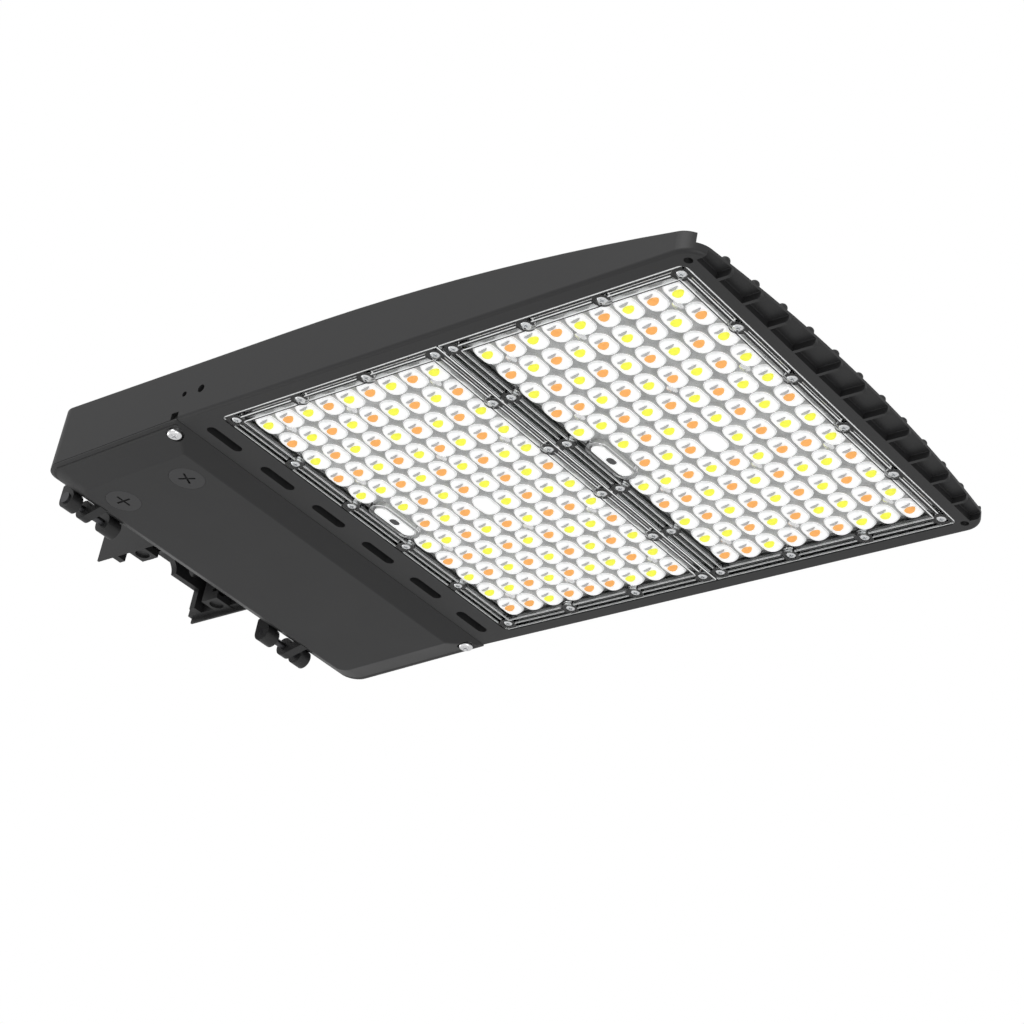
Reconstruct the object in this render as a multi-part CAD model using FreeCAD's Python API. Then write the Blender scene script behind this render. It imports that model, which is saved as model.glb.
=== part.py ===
import FreeCAD, Part
import math
import os

# Shoebox area light for a pole: a die-cast body with cooling fins on top, two LED boards
# under clear lenses, a power supply behind a hinged door, and a short arm to the pole.
# Millimetres. +X runs from the pole to the front, +Y across, +Z up.
# The origin is midway between the two pole bolts, on the pole side of the arm's bolt plate.

# ---------------------------------------------------------------- body casting
BOLTS_ABOVE_RIM = 23.5        # pole bolts above the body's flat underside
ARM_REACH = 44.0              # bolt plate to the body's rear lower edge
BODY_LENGTH = 436.8
BODY_WIDTH = 252.6
REAR_HEIGHT = 36.6            # rear wall, from the door's parting line up
BACK_RAKE = 8.4               # degrees the rear wall leans forward
LID_RISE = 3.4                # the lid stands this much above the side walls
LID_BACK = 23.3               # rear lower edge to the start of the flat lid
LID_LENGTH = 80.0
LID_FRONT_SLOPE = 3.0
LID_SIDE_SLOPE = 3.0
LID_SIDE_INSET = 1.6
LID_FRONT_CORNER = 12.0
ARCH_START = 174.0            # rear lower edge to the start of the fins' arch
ARCH_RADIUS = 1390.0
FRONT_BOW_RADIUS = 921.0
REAR_CORNER = 10.0
FRONT_CORNER = 12.0
WALL = 4.0
TOP_EDGE_ROUND = 1.0
RIM_EDGE_ROUND = 2.0

# ---------------------------------------------------------------- fins and front pockets
FIN_PITCH = 20.25
FIN_COUNT = 11
FIN_THICKNESS = 2.6
FIN_START = 11.0              # ahead of the compartment
HEAT_PLATE = 5.0              # plate that the LED boards sit on
RECESS_DEPTH = 8.0            # underside rim up to that plate
POCKET_DEPTH = 3.6
POCKET_START = 6.6            # front edge of the lens recess to the pockets
POCKET_HALF_SPAN = 117.7
POCKET_ROUND = 0.3
FRONT_LIP = 5.2               # height of the low front edge, above the rim
FRONT_LIP_START = 8.9         # front edge of the lens recess to the step down to the lip
RIB_THICKNESS = 1.8
NOSE_RADIUS = 2.4
NOSE_SET_BACK = 5.2           # nose centre behind the front edge
NOSE_HEIGHT = 6.4             # above the front lip
NOSE_ROUND = 2.0
TIP_OVERLAP = 6.0
CORNER_LOW = 3.0              # low corners start this far ahead of the lens recess
VENT_LENGTH = 24.0
VENT_WIDTH = 6.0
VENT_TO_LENS = 12.6           # vent centre line to the lens recess
SIDE_HOLE_RADIUS = 1.6
SIDE_PORT_RADIUS = 2.3
SIDE_PORT_GAP = 12.3
SIDE_HOLE_HEIGHT = 15.5       # above the rim
SIDE_HOLE_SETBACK = 0.6       # ahead of the door's front edge
SIDE_HOLE_DEPTH = 3.0
RIM_HOLE_RADIUS = 2.2
RIM_HOLE_DEPTH = 6.0
RIM_HOLE_AHEAD = 3.1          # past the recess, along and across
RIM_HOLE_OUT = 1.3
NOTCH_LENGTH = 5.1
NOTCH_HEIGHT = 4.8
NOTCH_DEPTH = 2.3

# ---------------------------------------------------------------- door
DOOR_LENGTH = 102.2
DOOR_TILT = 2.09              # degrees, rear end lower
DOOR_STEP = 1.0               # parting line above the rim at the door's front edge
DOOR_DEPTH = 6.8
DOOR_EDGE = 1.0               # upright band round the door under the parting line
DOOR_FRONT_SLOPE = 12.0
DOOR_REAR_SLOPE = 10.2
DOOR_SIDE_SLOPE = 19.8
DOOR_FLAT_CORNER = 6.0
DOOR_FRONT_CORNER = 1.5
DOOR_SKIN = 2.5
DOOR_EDGE_ROUND = 2.5
PARTING_GAP = 0.3
FLANGE = 7.0                  # width of the door's sealing flange
REAR_FLANGE = 9.0
FLANGE_SIDE = 7.3
GASKET_WIDTH = 3.0
GASKET_GROOVE = 1.8
GASKET_INSET = 2.2            # outer edge of the flange to the gasket
FRAME_CLEARANCE = 1.0

DOOR_SCREW_SETBACK = 8.0      # behind the door's front edge
DOOR_SCREW_INSET = 7.3        # in from the side
DOOR_SCREW_RADIUS = 2.0
DOOR_SCREW_HEAD = 4.0
DOOR_SCREW_HEAD_HEIGHT = 2.6
DOOR_SCREW_LENGTH = 9.0
DOOR_SCREW_SEAT = 2.2         # head seat below the parting line
SCREW_RECESS_RADIUS = 5.0
SCREW_BOSS_RADIUS = 6.5
SCREW_HOLE_CLEARANCE = 0.4
RETAINER_RADIUS = 3.6
RETAINER_THICKNESS = 0.8

PLUG_HEAD_RADIUS = 9.8
PLUG_HEAD_HEIGHT = 2.0
PLUG_BODY_RADIUS = 7.0
PLUG_BODY_HEIGHT = 4.3
PLUG_INSET = 37.4             # plug centre in from the near side
POWER_PLUG_SETBACK = 27.9     # behind the door's front edge
CCT_PLUG_SETBACK = 76.2
PLUG_HEAD_GAP = 0.15
PLUG_SEAL_HEIGHT = 0.5
PLUG_BOSS_WALL = 4.6
CROSS_SLOT_LENGTH = 9.6
CROSS_SLOT_WIDTH = 1.3
CROSS_SLOT_DEPTH = 1.1
POWER_PLUG_TURN = 25.0        # degrees, how far this plug's slot stands turned
RUNNING_FIT = 0.05

# ---------------------------------------------------------------- hinges
HINGE_BACK = 4.7              # axis behind the body's rear lower edge
HINGE_DROP = 4.5             # axis below the parting line there
KNUCKLE_RADIUS = 5.5
PIN_RADIUS = 2.0
PIN_HEAD_RADIUS = 3.2
PIN_HEAD_HEIGHT = 1.2
OUTER_KNUCKLE = 7.4
OUTER_GAP = 5.0
DOOR_KNUCKLE = 5.3
INNER_GAP = 9.4
INNER_KNUCKLE = 9.3
NEAR_HINGE_OUTER = 103.2      # outer end of each hinge from the centre plane
FAR_HINGE_OUTER = 89.0
WEB_RISE = 14.0
WEB_BEARING = 4.0             # how far a web reaches into the wall it is cast on
DOOR_WEB_DROP = 2.0

# ---------------------------------------------------------------- arm
ARM_WIDTH = 77.4
ARM_TIP = 7.1                 # wings reach past the bolt plate
ARM_TOP = 6.5                 # above the pole bolts
ARM_WALL = 4.2
ARM_TOP_WALL = 3.0
ARM_SKIRT = 1.2
ARM_SKIRT_DROP = 3.0          # skirt below the walls
BOLT_PLATE = 4.2
BOLT_PLATE_OPENING = 56.6
OPENING_BELOW_BOLTS = 8.0
WIRE_ARCH_RADIUS = 9.0
POLE_BOLT_SPACING = 42.0
POLE_BOLT_HOLE = 3.5
ARM_BOSS = 12.4
ARM_BOSS_FACE = 24.1          # inner face of a boss from the centre plane
ARM_BOSS_START = 14.7
ARM_BOSS_DROP = 0.5
ARM_BOSS_HOLE = 4.2
ARM_BOSS_HOLE_DEPTH = 1.5
ARM_FLANGE = 6.0
ARM_GASKET = 1.5
ARM_GASKET_INSET = 1.0
ARM_BOLT_RADIUS = 3.0
ARM_BOLT_HEAD = 5.0
ARM_BOLT_HEAD_HEIGHT = 5.0
ARM_BOLT_HALF_SPACING = 27.0
ARM_BOLT_UPPER = -1.5         # from the height of the pole bolts
ARM_BOLT_LOWER = -15.0
ARM_BOLT_ENGAGEMENT = 5.0
HEX_KEY = 2.5
GROMMET_HOLE = 9.0
GROMMET_BORE = 6.0
GROMMET_LIP = 2.0
GROMMET_LIP_LENGTH = 1.5
WIRE_ENTRY_DROP = 8.5         # wire entry below the pole bolts

# ---------------------------------------------------------------- LED modules
LED_PITCH_X = 14.0
LED_PITCH_Y = 18.0
LED_COLUMNS = 9
LED_ROWS = 12
MODULE_LENGTH = 145.0
MODULE_WIDTH = 234.0
MODULE_GAP = 0.6
MODULE_CLEARANCE = 0.45
MODULE_CORNER = 4.0
LENS_BAND = 9.2
BOARD_THICKNESS = 1.6
BOARD_CLEARANCE = 0.4
LED_LENGTH = 3.5
LED_WIDTH = 2.8
LED_HEIGHT = 0.7
LENS_PLATE = 2.2
LENS_AIR = 0.3                # LED face to the lens plate
LENS_GASKET = 1.0
LENS_BAND_THICKNESS = 4.6
LENS_RIB = 0.9
LENS_RIB_HEIGHT = 2.2
LENS_RIB_STEP = 3.9
DOME_WIDTH = 12.4
DOME_LENGTH = 17.2
DOME_HEIGHT = 3.8
BUMP_WIDTH = 4.6
BUMP_LENGTH = 6.4
BUMP_HEIGHT = 1.5
WINDOW_HEIGHT = 2.6
WINDOW_SKIN = 1.0
WINDOW_POCKET_INSET = 1.8
LENS_SCREW_COLUMNS = 4
LENS_SCREW_ROWS = 6
LENS_SCREW_EDGE = 5.4         # screw centre in from the lens edge, along
LENS_SCREW_SIDE = 5.55        # and across
LENS_SCREW_RADIUS = 1.7
LENS_SCREW_HEAD = 2.7
LENS_SCREW_HEAD_HEIGHT = 2.2
LENS_BOSS_RADIUS = 4.75
LENS_SCREW_BITE = 4.0
SCREW_CLEARANCE = 0.1
BOARD_SCREW_RADIUS = 1.5
BOARD_SCREW_HEAD = 2.6
BOARD_SCREW_HEAD_HEIGHT = 0.8
BOARD_SCREW_BITE = 3.0
CONNECTOR_LENGTH = 7.0
CONNECTOR_WIDTH = 24.0
CONNECTOR_HEIGHT = 3.4
PHILLIPS_DEPTH = 0.9
PHILLIPS_WIDTH = 0.8

# ---------------------------------------------------------------- power supply and wiring
DRIVER_START = 16.5           # ahead of the body's rear lower edge
DRIVER_LENGTH_X = 66.0
DRIVER_NEAR = -110.0
DRIVER_FAR = 60.0
DRIVER_HEIGHT = 23.0
DRIVER_ROUND = 3.0
BASE_PLATE = 1.5
BASE_TAB = 8.0
CEILING_PAD_HEIGHT = 2.0
CEILING_PAD_RADIUS = 5.0
DRIVER_SCREW_RADIUS = 2.0
DRIVER_SCREW_HEAD = 3.8
DRIVER_SCREW_HEAD_HEIGHT = 2.4
DRIVER_SCREW_INSET = 12.0
SELECTOR_SOCKET_RADIUS = 7.0
SELECTOR_SOCKET_HEIGHT = 3.0
SELECTOR_SOCKET_FLOOR = 0.5
SELECTOR_KNOB_RADIUS = 4.25
SELECTOR_KNOB_PROUD = 0.5
SELECTOR_SLOT_WIDTH = 1.0
SELECTOR_SLOT_DEPTH = 1.0
TERMINAL_LENGTH = 22.0
TERMINAL_WIDTH = 40.0
TERMINAL_HEIGHT = 12.0
TERMINAL_GAP = 12.0           # driver's end to the terminal block
TERMINAL_WAYS = 3
TERMINAL_SCREW_RADIUS = 2.4
TERMINAL_SCREW_HEIGHT = 1.0
SURGE_LENGTH = 30.0
SURGE_WIDTH = 38.0
SURGE_HEIGHT = 18.0
SURGE_GAP = 16.0
SURGE_ROUND = 2.0
INPUT_LEAD_RADIUS = 1.2
LEAD_BELOW_SCREWS = 0.5
OUTPUT_LEAD_RADIUS = 0.9
OUTPUT_LEAD_PITCH = 2.3
LEAD_BEND = 2.0
CHANNEL_WIDTH = 9.6
CHANNEL_DEPTH = 3.6
EARTH_SCREW_RADIUS = 2.5
EARTH_SCREW_HEAD = 4.2
EARTH_SCREW_HEAD_HEIGHT = 2.4
EARTH_SCREW_BITE = 2.5
CUT = 60.0                    # how far a cutting shape runs past the metal

# ---------------------------------------------------------------- levels and places
RIM_Z = -BOLTS_ABOVE_RIM
SEAT_Z = RIM_Z + RECESS_DEPTH
PLATE_TOP_Z = SEAT_Z + HEAT_PLATE
BACK_X = ARM_REACH
FRONT_X = BACK_X + BODY_LENGTH
HALF_WIDTH = BODY_WIDTH / 2
DOOR_FRONT_X = BACK_X + DOOR_LENGTH
PART_FRONT_Z = RIM_Z + DOOR_STEP
PART_REAR_Z = PART_FRONT_Z - DOOR_LENGTH * math.tan(math.radians(DOOR_TILT))
BACK_TOP_Z = PART_REAR_Z + REAR_HEIGHT
LID_Z = BACK_TOP_Z + LID_RISE
LID_X = BACK_X + LID_BACK
ARCH_X = BACK_X + ARCH_START
BAY_BACK_X = BACK_X + REAR_FLANGE
BAY_FRONT_X = DOOR_FRONT_X - FLANGE + PARTING_GAP
BAY_HALF = HALF_WIDTH - WALL - FRAME_CLEARANCE
BAY_TOP_Z = LID_Z - WALL
RECESS_LENGTH = 2 * MODULE_LENGTH + MODULE_GAP + 2 * MODULE_CLEARANCE
RECESS_X = DOOR_FRONT_X + VENT_WIDTH / 2 + VENT_TO_LENS + 7.45
RECESS_HALF = MODULE_WIDTH / 2 + MODULE_CLEARANCE
RECESS_FRONT_X = RECESS_X + RECESS_LENGTH
MODULE_X = [RECESS_X + MODULE_CLEARANCE + MODULE_LENGTH / 2 + index * (MODULE_LENGTH + MODULE_GAP)
            for index in range(2)]
VENT_X = RECESS_X - VENT_TO_LENS
POCKET_X = RECESS_FRONT_X + POCKET_START
LIP_X = RECESS_FRONT_X + FRONT_LIP_START
HINGE_X = BACK_X - HINGE_BACK
HINGE_Z = PART_REAR_Z - HINGE_DROP
LENS_TOP_Z = SEAT_Z - LENS_GASKET
BOARD_Z = SEAT_Z - BOARD_THICKNESS
LED_Z = BOARD_Z - LED_HEIGHT
LENS_PLATE_TOP_Z = LED_Z - LENS_AIR
LENS_PLATE_Z = LENS_PLATE_TOP_Z - LENS_PLATE
LENS_BAND_Z = LENS_TOP_Z - LENS_BAND_THICKNESS
DRIVER_X = BACK_X + DRIVER_START
DRIVER_TOP_Z = BAY_TOP_Z - CEILING_PAD_HEIGHT - BASE_PLATE
DRIVER_Z = DRIVER_TOP_Z - DRIVER_HEIGHT
PLUG_Y = -(HALF_WIDTH - PLUG_INSET)
LEAD_Z = SEAT_Z + CHANNEL_DEPTH / 2
WIRE_ENTRY_Z = -WIRE_ENTRY_DROP
ARM_BOTTOM_Z = RIM_Z + ARM_SKIRT_DROP


def at(x, y, z):
    return FreeCAD.Vector(x, y, z)


def block(x0, x1, y0, y1, z0, z1):
    """A box between two corners."""
    return Part.makeBox(x1 - x0, y1 - y0, z1 - z0, at(x0, y0, z0))


def rod(radius, x, y, z, length, direction=(0, 0, 1)):
    """A round bar from a point along a direction."""
    return Part.makeCylinder(radius, length, at(x, y, z), at(*direction))


def upright_edges(shape):
    """The straight vertical edges of a shape."""
    found = []
    for edge in shape.Edges:
        low, high = edge.BoundBox, edge.BoundBox
        if low.XLength < 1e-6 and high.YLength < 1e-6 and low.ZLength > 0:
            found.append(edge)
    return found


def rounded_block(x0, x1, y0, y1, z0, z1, radius):
    """A box whose upright edges are rounded."""
    solid = block(x0, x1, y0, y1, z0, z1)
    return solid.makeFillet(radius, upright_edges(solid))


def slab(points, y0, y1):
    """A side outline in X and Z, drawn out across Y."""
    corners = [at(x, y0, z) for x, z in points]
    face = Part.Face(Part.makePolygon(corners + [corners[0]]))
    return face.extrude(at(0, y1 - y0, 0))


def stadium(x, y, width, length, z0, z1):
    """An upright block with round ends, long across Y."""
    reach = (length - width) / 2
    middle = block(x - width / 2, x + width / 2, y - reach, y + reach, z0, z1)
    ends = [rod(width / 2, x, y + side * reach, z0, z1 - z0) for side in (-1, 1)]
    return middle.multiFuse(ends).removeSplitter()


def ring(outer, inner):
    """An outer solid with the inner one cut out of it."""
    return outer.cut(inner)


def egg(x, y, z, width, length, height):
    """A long dome standing down from height z: a round bar with ball ends, sunk in the plate."""
    radius = (width * width / 4 + height * height) / (2 * height)
    middle = z + radius - height
    reach = (length - width) / 2
    bar = rod(radius, x, y - reach, middle, 2 * reach, (0, 1, 0))
    ends = [Part.makeSphere(radius, at(x, y + side * reach, middle), at(0, side, 0), 0, 90, 360)
            for side in (-1, 1)]
    return bar.multiFuse(ends)


def group(solids):
    """Separate solids kept together as one node."""
    return Part.makeCompound(solids)


def tilted(shape):
    """The door and all that is on it lean back about the door's front edge."""
    turned = shape.copy()
    turned.rotate(at(DOOR_FRONT_X, 0, PART_FRONT_Z), at(0, 1, 0), -DOOR_TILT)
    return turned


def cross_slot(x, y, z, length, width, depth, turn=0.0):
    """A cross recess cut upwards from height z."""
    one = block(x - length / 2, x + length / 2, y - width / 2, y + width / 2, z - CUT, z + depth)
    other = block(x - width / 2, x + width / 2, y - length / 2, y + length / 2, z - CUT, z + depth)
    cross = one.fuse(other)
    cross.rotate(at(x, y, z), at(0, 0, 1), turn)
    return cross


def pan_screw(x, y, seat, head, head_height, shank, length):
    """A pan-head screw with a cross recess; its head hangs below the seat."""
    body = rod(head, x, y, seat - head_height, head_height)
    lower = [edge for edge in body.Edges if abs(edge.BoundBox.ZMax - (seat - head_height)) < 1e-6]
    body = body.makeFillet(head_height / 2, lower)
    body = body.fuse(rod(shank, x, y, seat, length))
    slot = cross_slot(x, y, seat - head_height, head, PHILLIPS_WIDTH, PHILLIPS_DEPTH)
    return body.cut(slot)


def fin_places():
    """Distance of each fin from the centre plane."""
    middle = (FIN_COUNT - 1) / 2
    return [(index - middle) * FIN_PITCH for index in range(FIN_COUNT)]


def back_plane(z, gap=0.0):
    """X of the leaning rear wall at height z."""
    return BACK_X + (z - PART_REAR_Z) * math.tan(math.radians(BACK_RAKE)) - gap


def behind_back(gap):
    """The space behind the rear wall, less a gap."""
    low, high = RIM_Z - CUT, ARM_TOP + CUT
    points = [(-CUT, low), (back_plane(low, gap), low), (back_plane(high, gap), high), (-CUT, high)]
    return slab(points, -ARM_WIDTH, ARM_WIDTH)


# ---------------------------------------------------------------- the body casting
def plan_prism():
    """The body's outline from above, bowed at the front, as a tall prism."""
    sag = FRONT_BOW_RADIUS - math.sqrt(FRONT_BOW_RADIUS ** 2 - HALF_WIDTH ** 2)
    low = RIM_Z - CUT
    rear_right, rear_left = at(BACK_X, -HALF_WIDTH, low), at(BACK_X, HALF_WIDTH, low)
    front_right = at(FRONT_X - sag, -HALF_WIDTH, low)
    front_left = at(FRONT_X - sag, HALF_WIDTH, low)
    edges = [Part.makeLine(rear_left, rear_right), Part.makeLine(rear_right, front_right),
             Part.Arc(front_right, at(FRONT_X, 0, low), front_left).toShape(),
             Part.makeLine(front_left, rear_left)]
    prism = Part.Face(Part.Wire(edges)).extrude(at(0, 0, LID_Z + CUT - low))
    rear = [edge for edge in upright_edges(prism) if edge.BoundBox.XMin < DOOR_FRONT_X]
    front = [edge for edge in upright_edges(prism) if edge.BoundBox.XMin > DOOR_FRONT_X]
    prism = prism.makeFillet(REAR_CORNER, rear)
    front = [edge for edge in upright_edges(prism)
             if edge.BoundBox.XMin > DOOR_FRONT_X and abs(edge.BoundBox.YMin) > HALF_WIDTH - 1e-3]
    return prism.makeFillet(FRONT_CORNER, front)


def arch_z(x):
    """Height of the fins' arched top at x."""
    return BACK_TOP_Z - ARCH_RADIUS + math.sqrt(ARCH_RADIUS ** 2 - max(0.0, x - ARCH_X) ** 2)


def side_prism():
    """The body's outline from the side, as a wide prism."""
    far_x = FRONT_X + WALL
    y = -HALF_WIDTH - WALL
    lower = [(far_x, RIM_Z), (DOOR_FRONT_X, RIM_Z), (DOOR_FRONT_X, PART_FRONT_Z),
             (BACK_X, PART_REAR_Z), (back_plane(BACK_TOP_Z), BACK_TOP_Z), (ARCH_X, BACK_TOP_Z)]
    corners = [at(x, y, z) for x, z in lower]
    middle = (ARCH_X + far_x) / 2
    arch = Part.Arc(corners[-1], at(middle, y, arch_z(middle)), at(far_x, y, arch_z(far_x)))
    edges = [Part.makeLine(corners[i], corners[i + 1]) for i in range(len(corners) - 1)]
    edges += [arch.toShape(), Part.makeLine(at(far_x, y, arch_z(far_x)), corners[0])]
    return Part.Face(Part.Wire(edges)).extrude(at(0, 2 * (HALF_WIDTH + WALL), 0))


def raised_lid():
    """The low bevelled rise over the power supply's compartment."""
    inset = HALF_WIDTH - LID_SIDE_INSET
    rear = back_plane(BACK_TOP_Z) + LID_SIDE_INSET
    front = LID_X + LID_LENGTH
    return Part.makeLoft([
        round_outline(rear, front + LID_FRONT_SLOPE, inset, BACK_TOP_Z, REAR_CORNER, LID_FRONT_CORNER),
        round_outline(LID_X, front, inset - LID_SIDE_SLOPE, LID_Z, REAR_CORNER, LID_FRONT_CORNER)],
        True, True)


def body_blank():
    """The casting's outside, with its long edges eased."""
    blank = plan_prism().common(side_prism())
    blank = blank.cut(block(LIP_X, FRONT_X + CUT, -HALF_WIDTH - WALL, HALF_WIDTH + WALL,
                            RIM_Z + FRONT_LIP, LID_Z + CUT))
    front = blank.common(block(DOOR_FRONT_X, FRONT_X + CUT, -BODY_WIDTH, BODY_WIDTH, -CUT, CUT))
    rear = blank.cut(block(DOOR_FRONT_X, FRONT_X + CUT, -BODY_WIDTH, BODY_WIDTH, -CUT, CUT))
    rim_edges = [edge for edge in front.Edges if edge.BoundBox.ZMax < RIM_Z + 1e-6
                 and edge.BoundBox.XLength > 1.0]
    blank = front.makeFillet(RIM_EDGE_ROUND, rim_edges).fuse(rear).removeSplitter()
    top_edges = [edge for edge in blank.Edges if edge.BoundBox.ZMin > SEAT_Z - 1.0
                 and edge.BoundBox.XMax < LIP_X + 1.0
                 and (edge.BoundBox.YLength < HALF_WIDTH and edge.BoundBox.XLength > 1.0
                      or edge.BoundBox.XMax < LID_X)
                 and abs(edge.BoundBox.YMax) > REAR_CORNER]
    return blank.makeFillet(TOP_EDGE_ROUND, top_edges).fuse(raised_lid())


def door_screw_places():
    x = DOOR_FRONT_X - DOOR_SCREW_SETBACK
    y = HALF_WIDTH - DOOR_SCREW_INSET
    return [(x, -y), (x, y)]


def compartment():
    """The space for the power supply, less the two screw bosses."""
    top = BAY_TOP_Z
    rise = (LID_X - BAY_BACK_X) * LID_RISE / (LID_X - back_plane(BACK_TOP_Z) - LID_SIDE_INSET)
    points = [(BAY_BACK_X, RIM_Z - CUT), (BAY_BACK_X, top - rise), (LID_X, top),
              (BAY_FRONT_X, top), (BAY_FRONT_X, RIM_Z - CUT)]
    room = slab(points, -BAY_HALF, BAY_HALF)
    for x, y in door_screw_places():
        room = room.cut(rod(SCREW_BOSS_RADIUS, x, y, RIM_Z - CUT, CUT + CUT))
        side = math.copysign(BAY_HALF, y)
        corner = block(x, BAY_FRONT_X, min(y, side), max(y, side), RIM_Z - CUT, top)
        room = room.cut(corner)
    return room


def fin_gaps():
    """The open channels between the fins, above the heat plate."""
    start = BAY_FRONT_X + FIN_START
    edges = [-HALF_WIDTH + WALL - FIN_THICKNESS / 2] + fin_places()
    edges += [HALF_WIDTH - WALL + FIN_THICKNESS / 2]
    gaps = []
    for low, high in zip(edges, edges[1:]):
        gaps.append(block(start, FRONT_X + WALL, low + FIN_THICKNESS / 2, high - FIN_THICKNESS / 2,
                          PLATE_TOP_Z, LID_Z + CUT))
    return gaps


def front_pockets():
    """The row of shallow pockets along the front, between short ribs."""
    edges = [-POCKET_HALF_SPAN - RIB_THICKNESS / 2] + fin_places()
    edges += [POCKET_HALF_SPAN + RIB_THICKNESS / 2]
    pockets = []
    for low, high in zip(edges, edges[1:]):
        pocket = block(POCKET_X, FRONT_X + WALL, low + RIB_THICKNESS / 2, high - RIB_THICKNESS / 2,
                       RIM_Z - WALL, RIM_Z + POCKET_DEPTH)
        ceiling = [edge for edge in pocket.Edges
                   if edge.BoundBox.ZMin > RIM_Z and edge.BoundBox.XMax < FRONT_X + WALL / 2
                   or edge.BoundBox.ZMin > RIM_Z and edge.BoundBox.YLength < 1e-6]
        pockets.append(pocket.makeFillet(POCKET_ROUND, ceiling))
    return pockets


def fin_tips():
    """The fins' low ends over the front lip; their round noses stand a little proud of it."""
    tips = []
    half = FIN_THICKNESS / 2
    lip_top = RIM_Z + FRONT_LIP
    top = lip_top + NOSE_HEIGHT
    start = LIP_X - TIP_OVERLAP
    for y in fin_places():
        x = FRONT_X - FRONT_BOW_RADIUS + math.sqrt(FRONT_BOW_RADIUS ** 2 - y * y) - NOSE_SET_BACK
        nose = rod(NOSE_RADIUS, x, y, lip_top - WALL / 4, top - lip_top + WALL / 4)
        crown = [edge for edge in nose.Edges if edge.BoundBox.ZMin > top - 1e-6]
        tips.append(nose.makeFillet(NOSE_ROUND, crown))
        tips.append(slab([(start, lip_top - WALL / 4), (x, lip_top - WALL / 4), (x, top - NOSE_ROUND / 4),
                          (start, arch_z(start))], y - half, y + half))
    return tips


def low_corners():
    """The lip is low right up to the side walls, outside the outermost fins."""
    inner = fin_places()[-1] + FIN_THICKNESS / 2
    outer = HALF_WIDTH - WALL
    return [block(RECESS_FRONT_X + CORNER_LOW, LIP_X + WALL, min(side * inner, side * outer),
                  max(side * inner, side * outer), RIM_Z + FRONT_LIP, LID_Z + CUT) for side in (-1, 1)]


def vents():
    """Slots through the plate, each under every second fin."""
    return [stadium(VENT_X, y, VENT_WIDTH, VENT_LENGTH, RIM_Z - WALL, PLATE_TOP_Z)
            for y in fin_places()[::2]]


def side_details():
    """Small holes in both side walls and the rim, and the notches by the door's screws."""
    cutters = []
    x = DOOR_FRONT_X + SIDE_HOLE_SETBACK
    z = RIM_Z + SIDE_HOLE_HEIGHT
    for side in (-1, 1):
        y = side * (HALF_WIDTH - SIDE_HOLE_DEPTH)
        out = (0, side, 0)
        cutters.append(rod(SIDE_HOLE_RADIUS, x, y, z, CUT, out))
        cutters.append(rod(SIDE_PORT_RADIUS, x + SIDE_PORT_GAP, y, z, CUT, out))
        cutters.append(rod(RIM_HOLE_RADIUS, RECESS_FRONT_X + RIM_HOLE_AHEAD,
                           side * (RECESS_HALF + RIM_HOLE_OUT), RIM_Z - WALL, RIM_HOLE_DEPTH + WALL))
        inner, outer = side * (HALF_WIDTH - NOTCH_DEPTH), side * (HALF_WIDTH + WALL)
        cutters.append(block(DOOR_FRONT_X - NOTCH_LENGTH, DOOR_FRONT_X, min(inner, outer),
                             max(inner, outer), RIM_Z - WALL, RIM_Z + NOTCH_HEIGHT))
    return cutters


def hinge_spans():
    """For each hinge: its outer knuckle, door knuckle and inner knuckle, as pairs of Y."""
    hinges = []
    for outer, inward in ((-NEAR_HINGE_OUTER, 1), (FAR_HINGE_OUTER, -1)):
        first = (outer, outer + inward * OUTER_KNUCKLE)
        start = first[1] + inward * OUTER_GAP
        middle = (start, start + inward * DOOR_KNUCKLE)
        start = middle[1] + inward * INNER_GAP
        last = (start, start + inward * INNER_KNUCKLE)
        hinges.append([tuple(sorted(span)) for span in (first, middle, last)])
    return hinges


def body_knuckle(span):
    """A hinge knuckle cast on the rear wall by a short web above the door's edge."""
    y0, y1 = span
    barrel = rod(KNUCKLE_RADIUS, HINGE_X, y0, HINGE_Z, y1 - y0, (0, 1, 0))
    inside = back_plane(PART_REAR_Z + WEB_RISE) + WEB_BEARING
    foot = PART_REAR_Z + PARTING_GAP
    web = slab([(HINGE_X - KNUCKLE_RADIUS, HINGE_Z), (HINGE_X - KNUCKLE_RADIUS, foot + WALL),
                (inside, PART_REAR_Z + WEB_RISE), (inside, foot + WALL), (BACK_X, foot),
                (HINGE_X, foot), (HINGE_X, HINGE_Z)], y0, y1)
    return barrel.fuse(web)


def pin_bore(y0, y1, radius):
    return rod(radius, HINGE_X, y0, HINGE_Z, y1 - y0, (0, 1, 0))


def arm_bolt_places():
    return [(side * ARM_BOLT_HALF_SPACING, z) for side in (-1, 1)
            for z in (ARM_BOLT_LOWER, ARM_BOLT_UPPER)]


def lens_screw_places(module_x):
    """Sixteen places round a lens."""
    reach_x = MODULE_LENGTH / 2 - LENS_SCREW_EDGE
    reach_y = MODULE_WIDTH / 2 - LENS_SCREW_SIDE
    places = []
    for column in range(LENS_SCREW_COLUMNS):
        for row in range(LENS_SCREW_ROWS):
            if column in (0, LENS_SCREW_COLUMNS - 1) or row in (0, LENS_SCREW_ROWS - 1):
                x = module_x - reach_x + 2 * reach_x * column / (LENS_SCREW_COLUMNS - 1)
                y = -reach_y + 2 * reach_y * row / (LENS_SCREW_ROWS - 1)
                places.append((x, y))
    return places


def led_place(module_x, column, row):
    """Centre of an LED, or of a point between LEDs, in grid steps."""
    x = module_x + (column - (LED_COLUMNS - 1) / 2) * LED_PITCH_X
    y = (row - (LED_ROWS - 1) / 2) * LED_PITCH_Y
    return x, y


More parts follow.
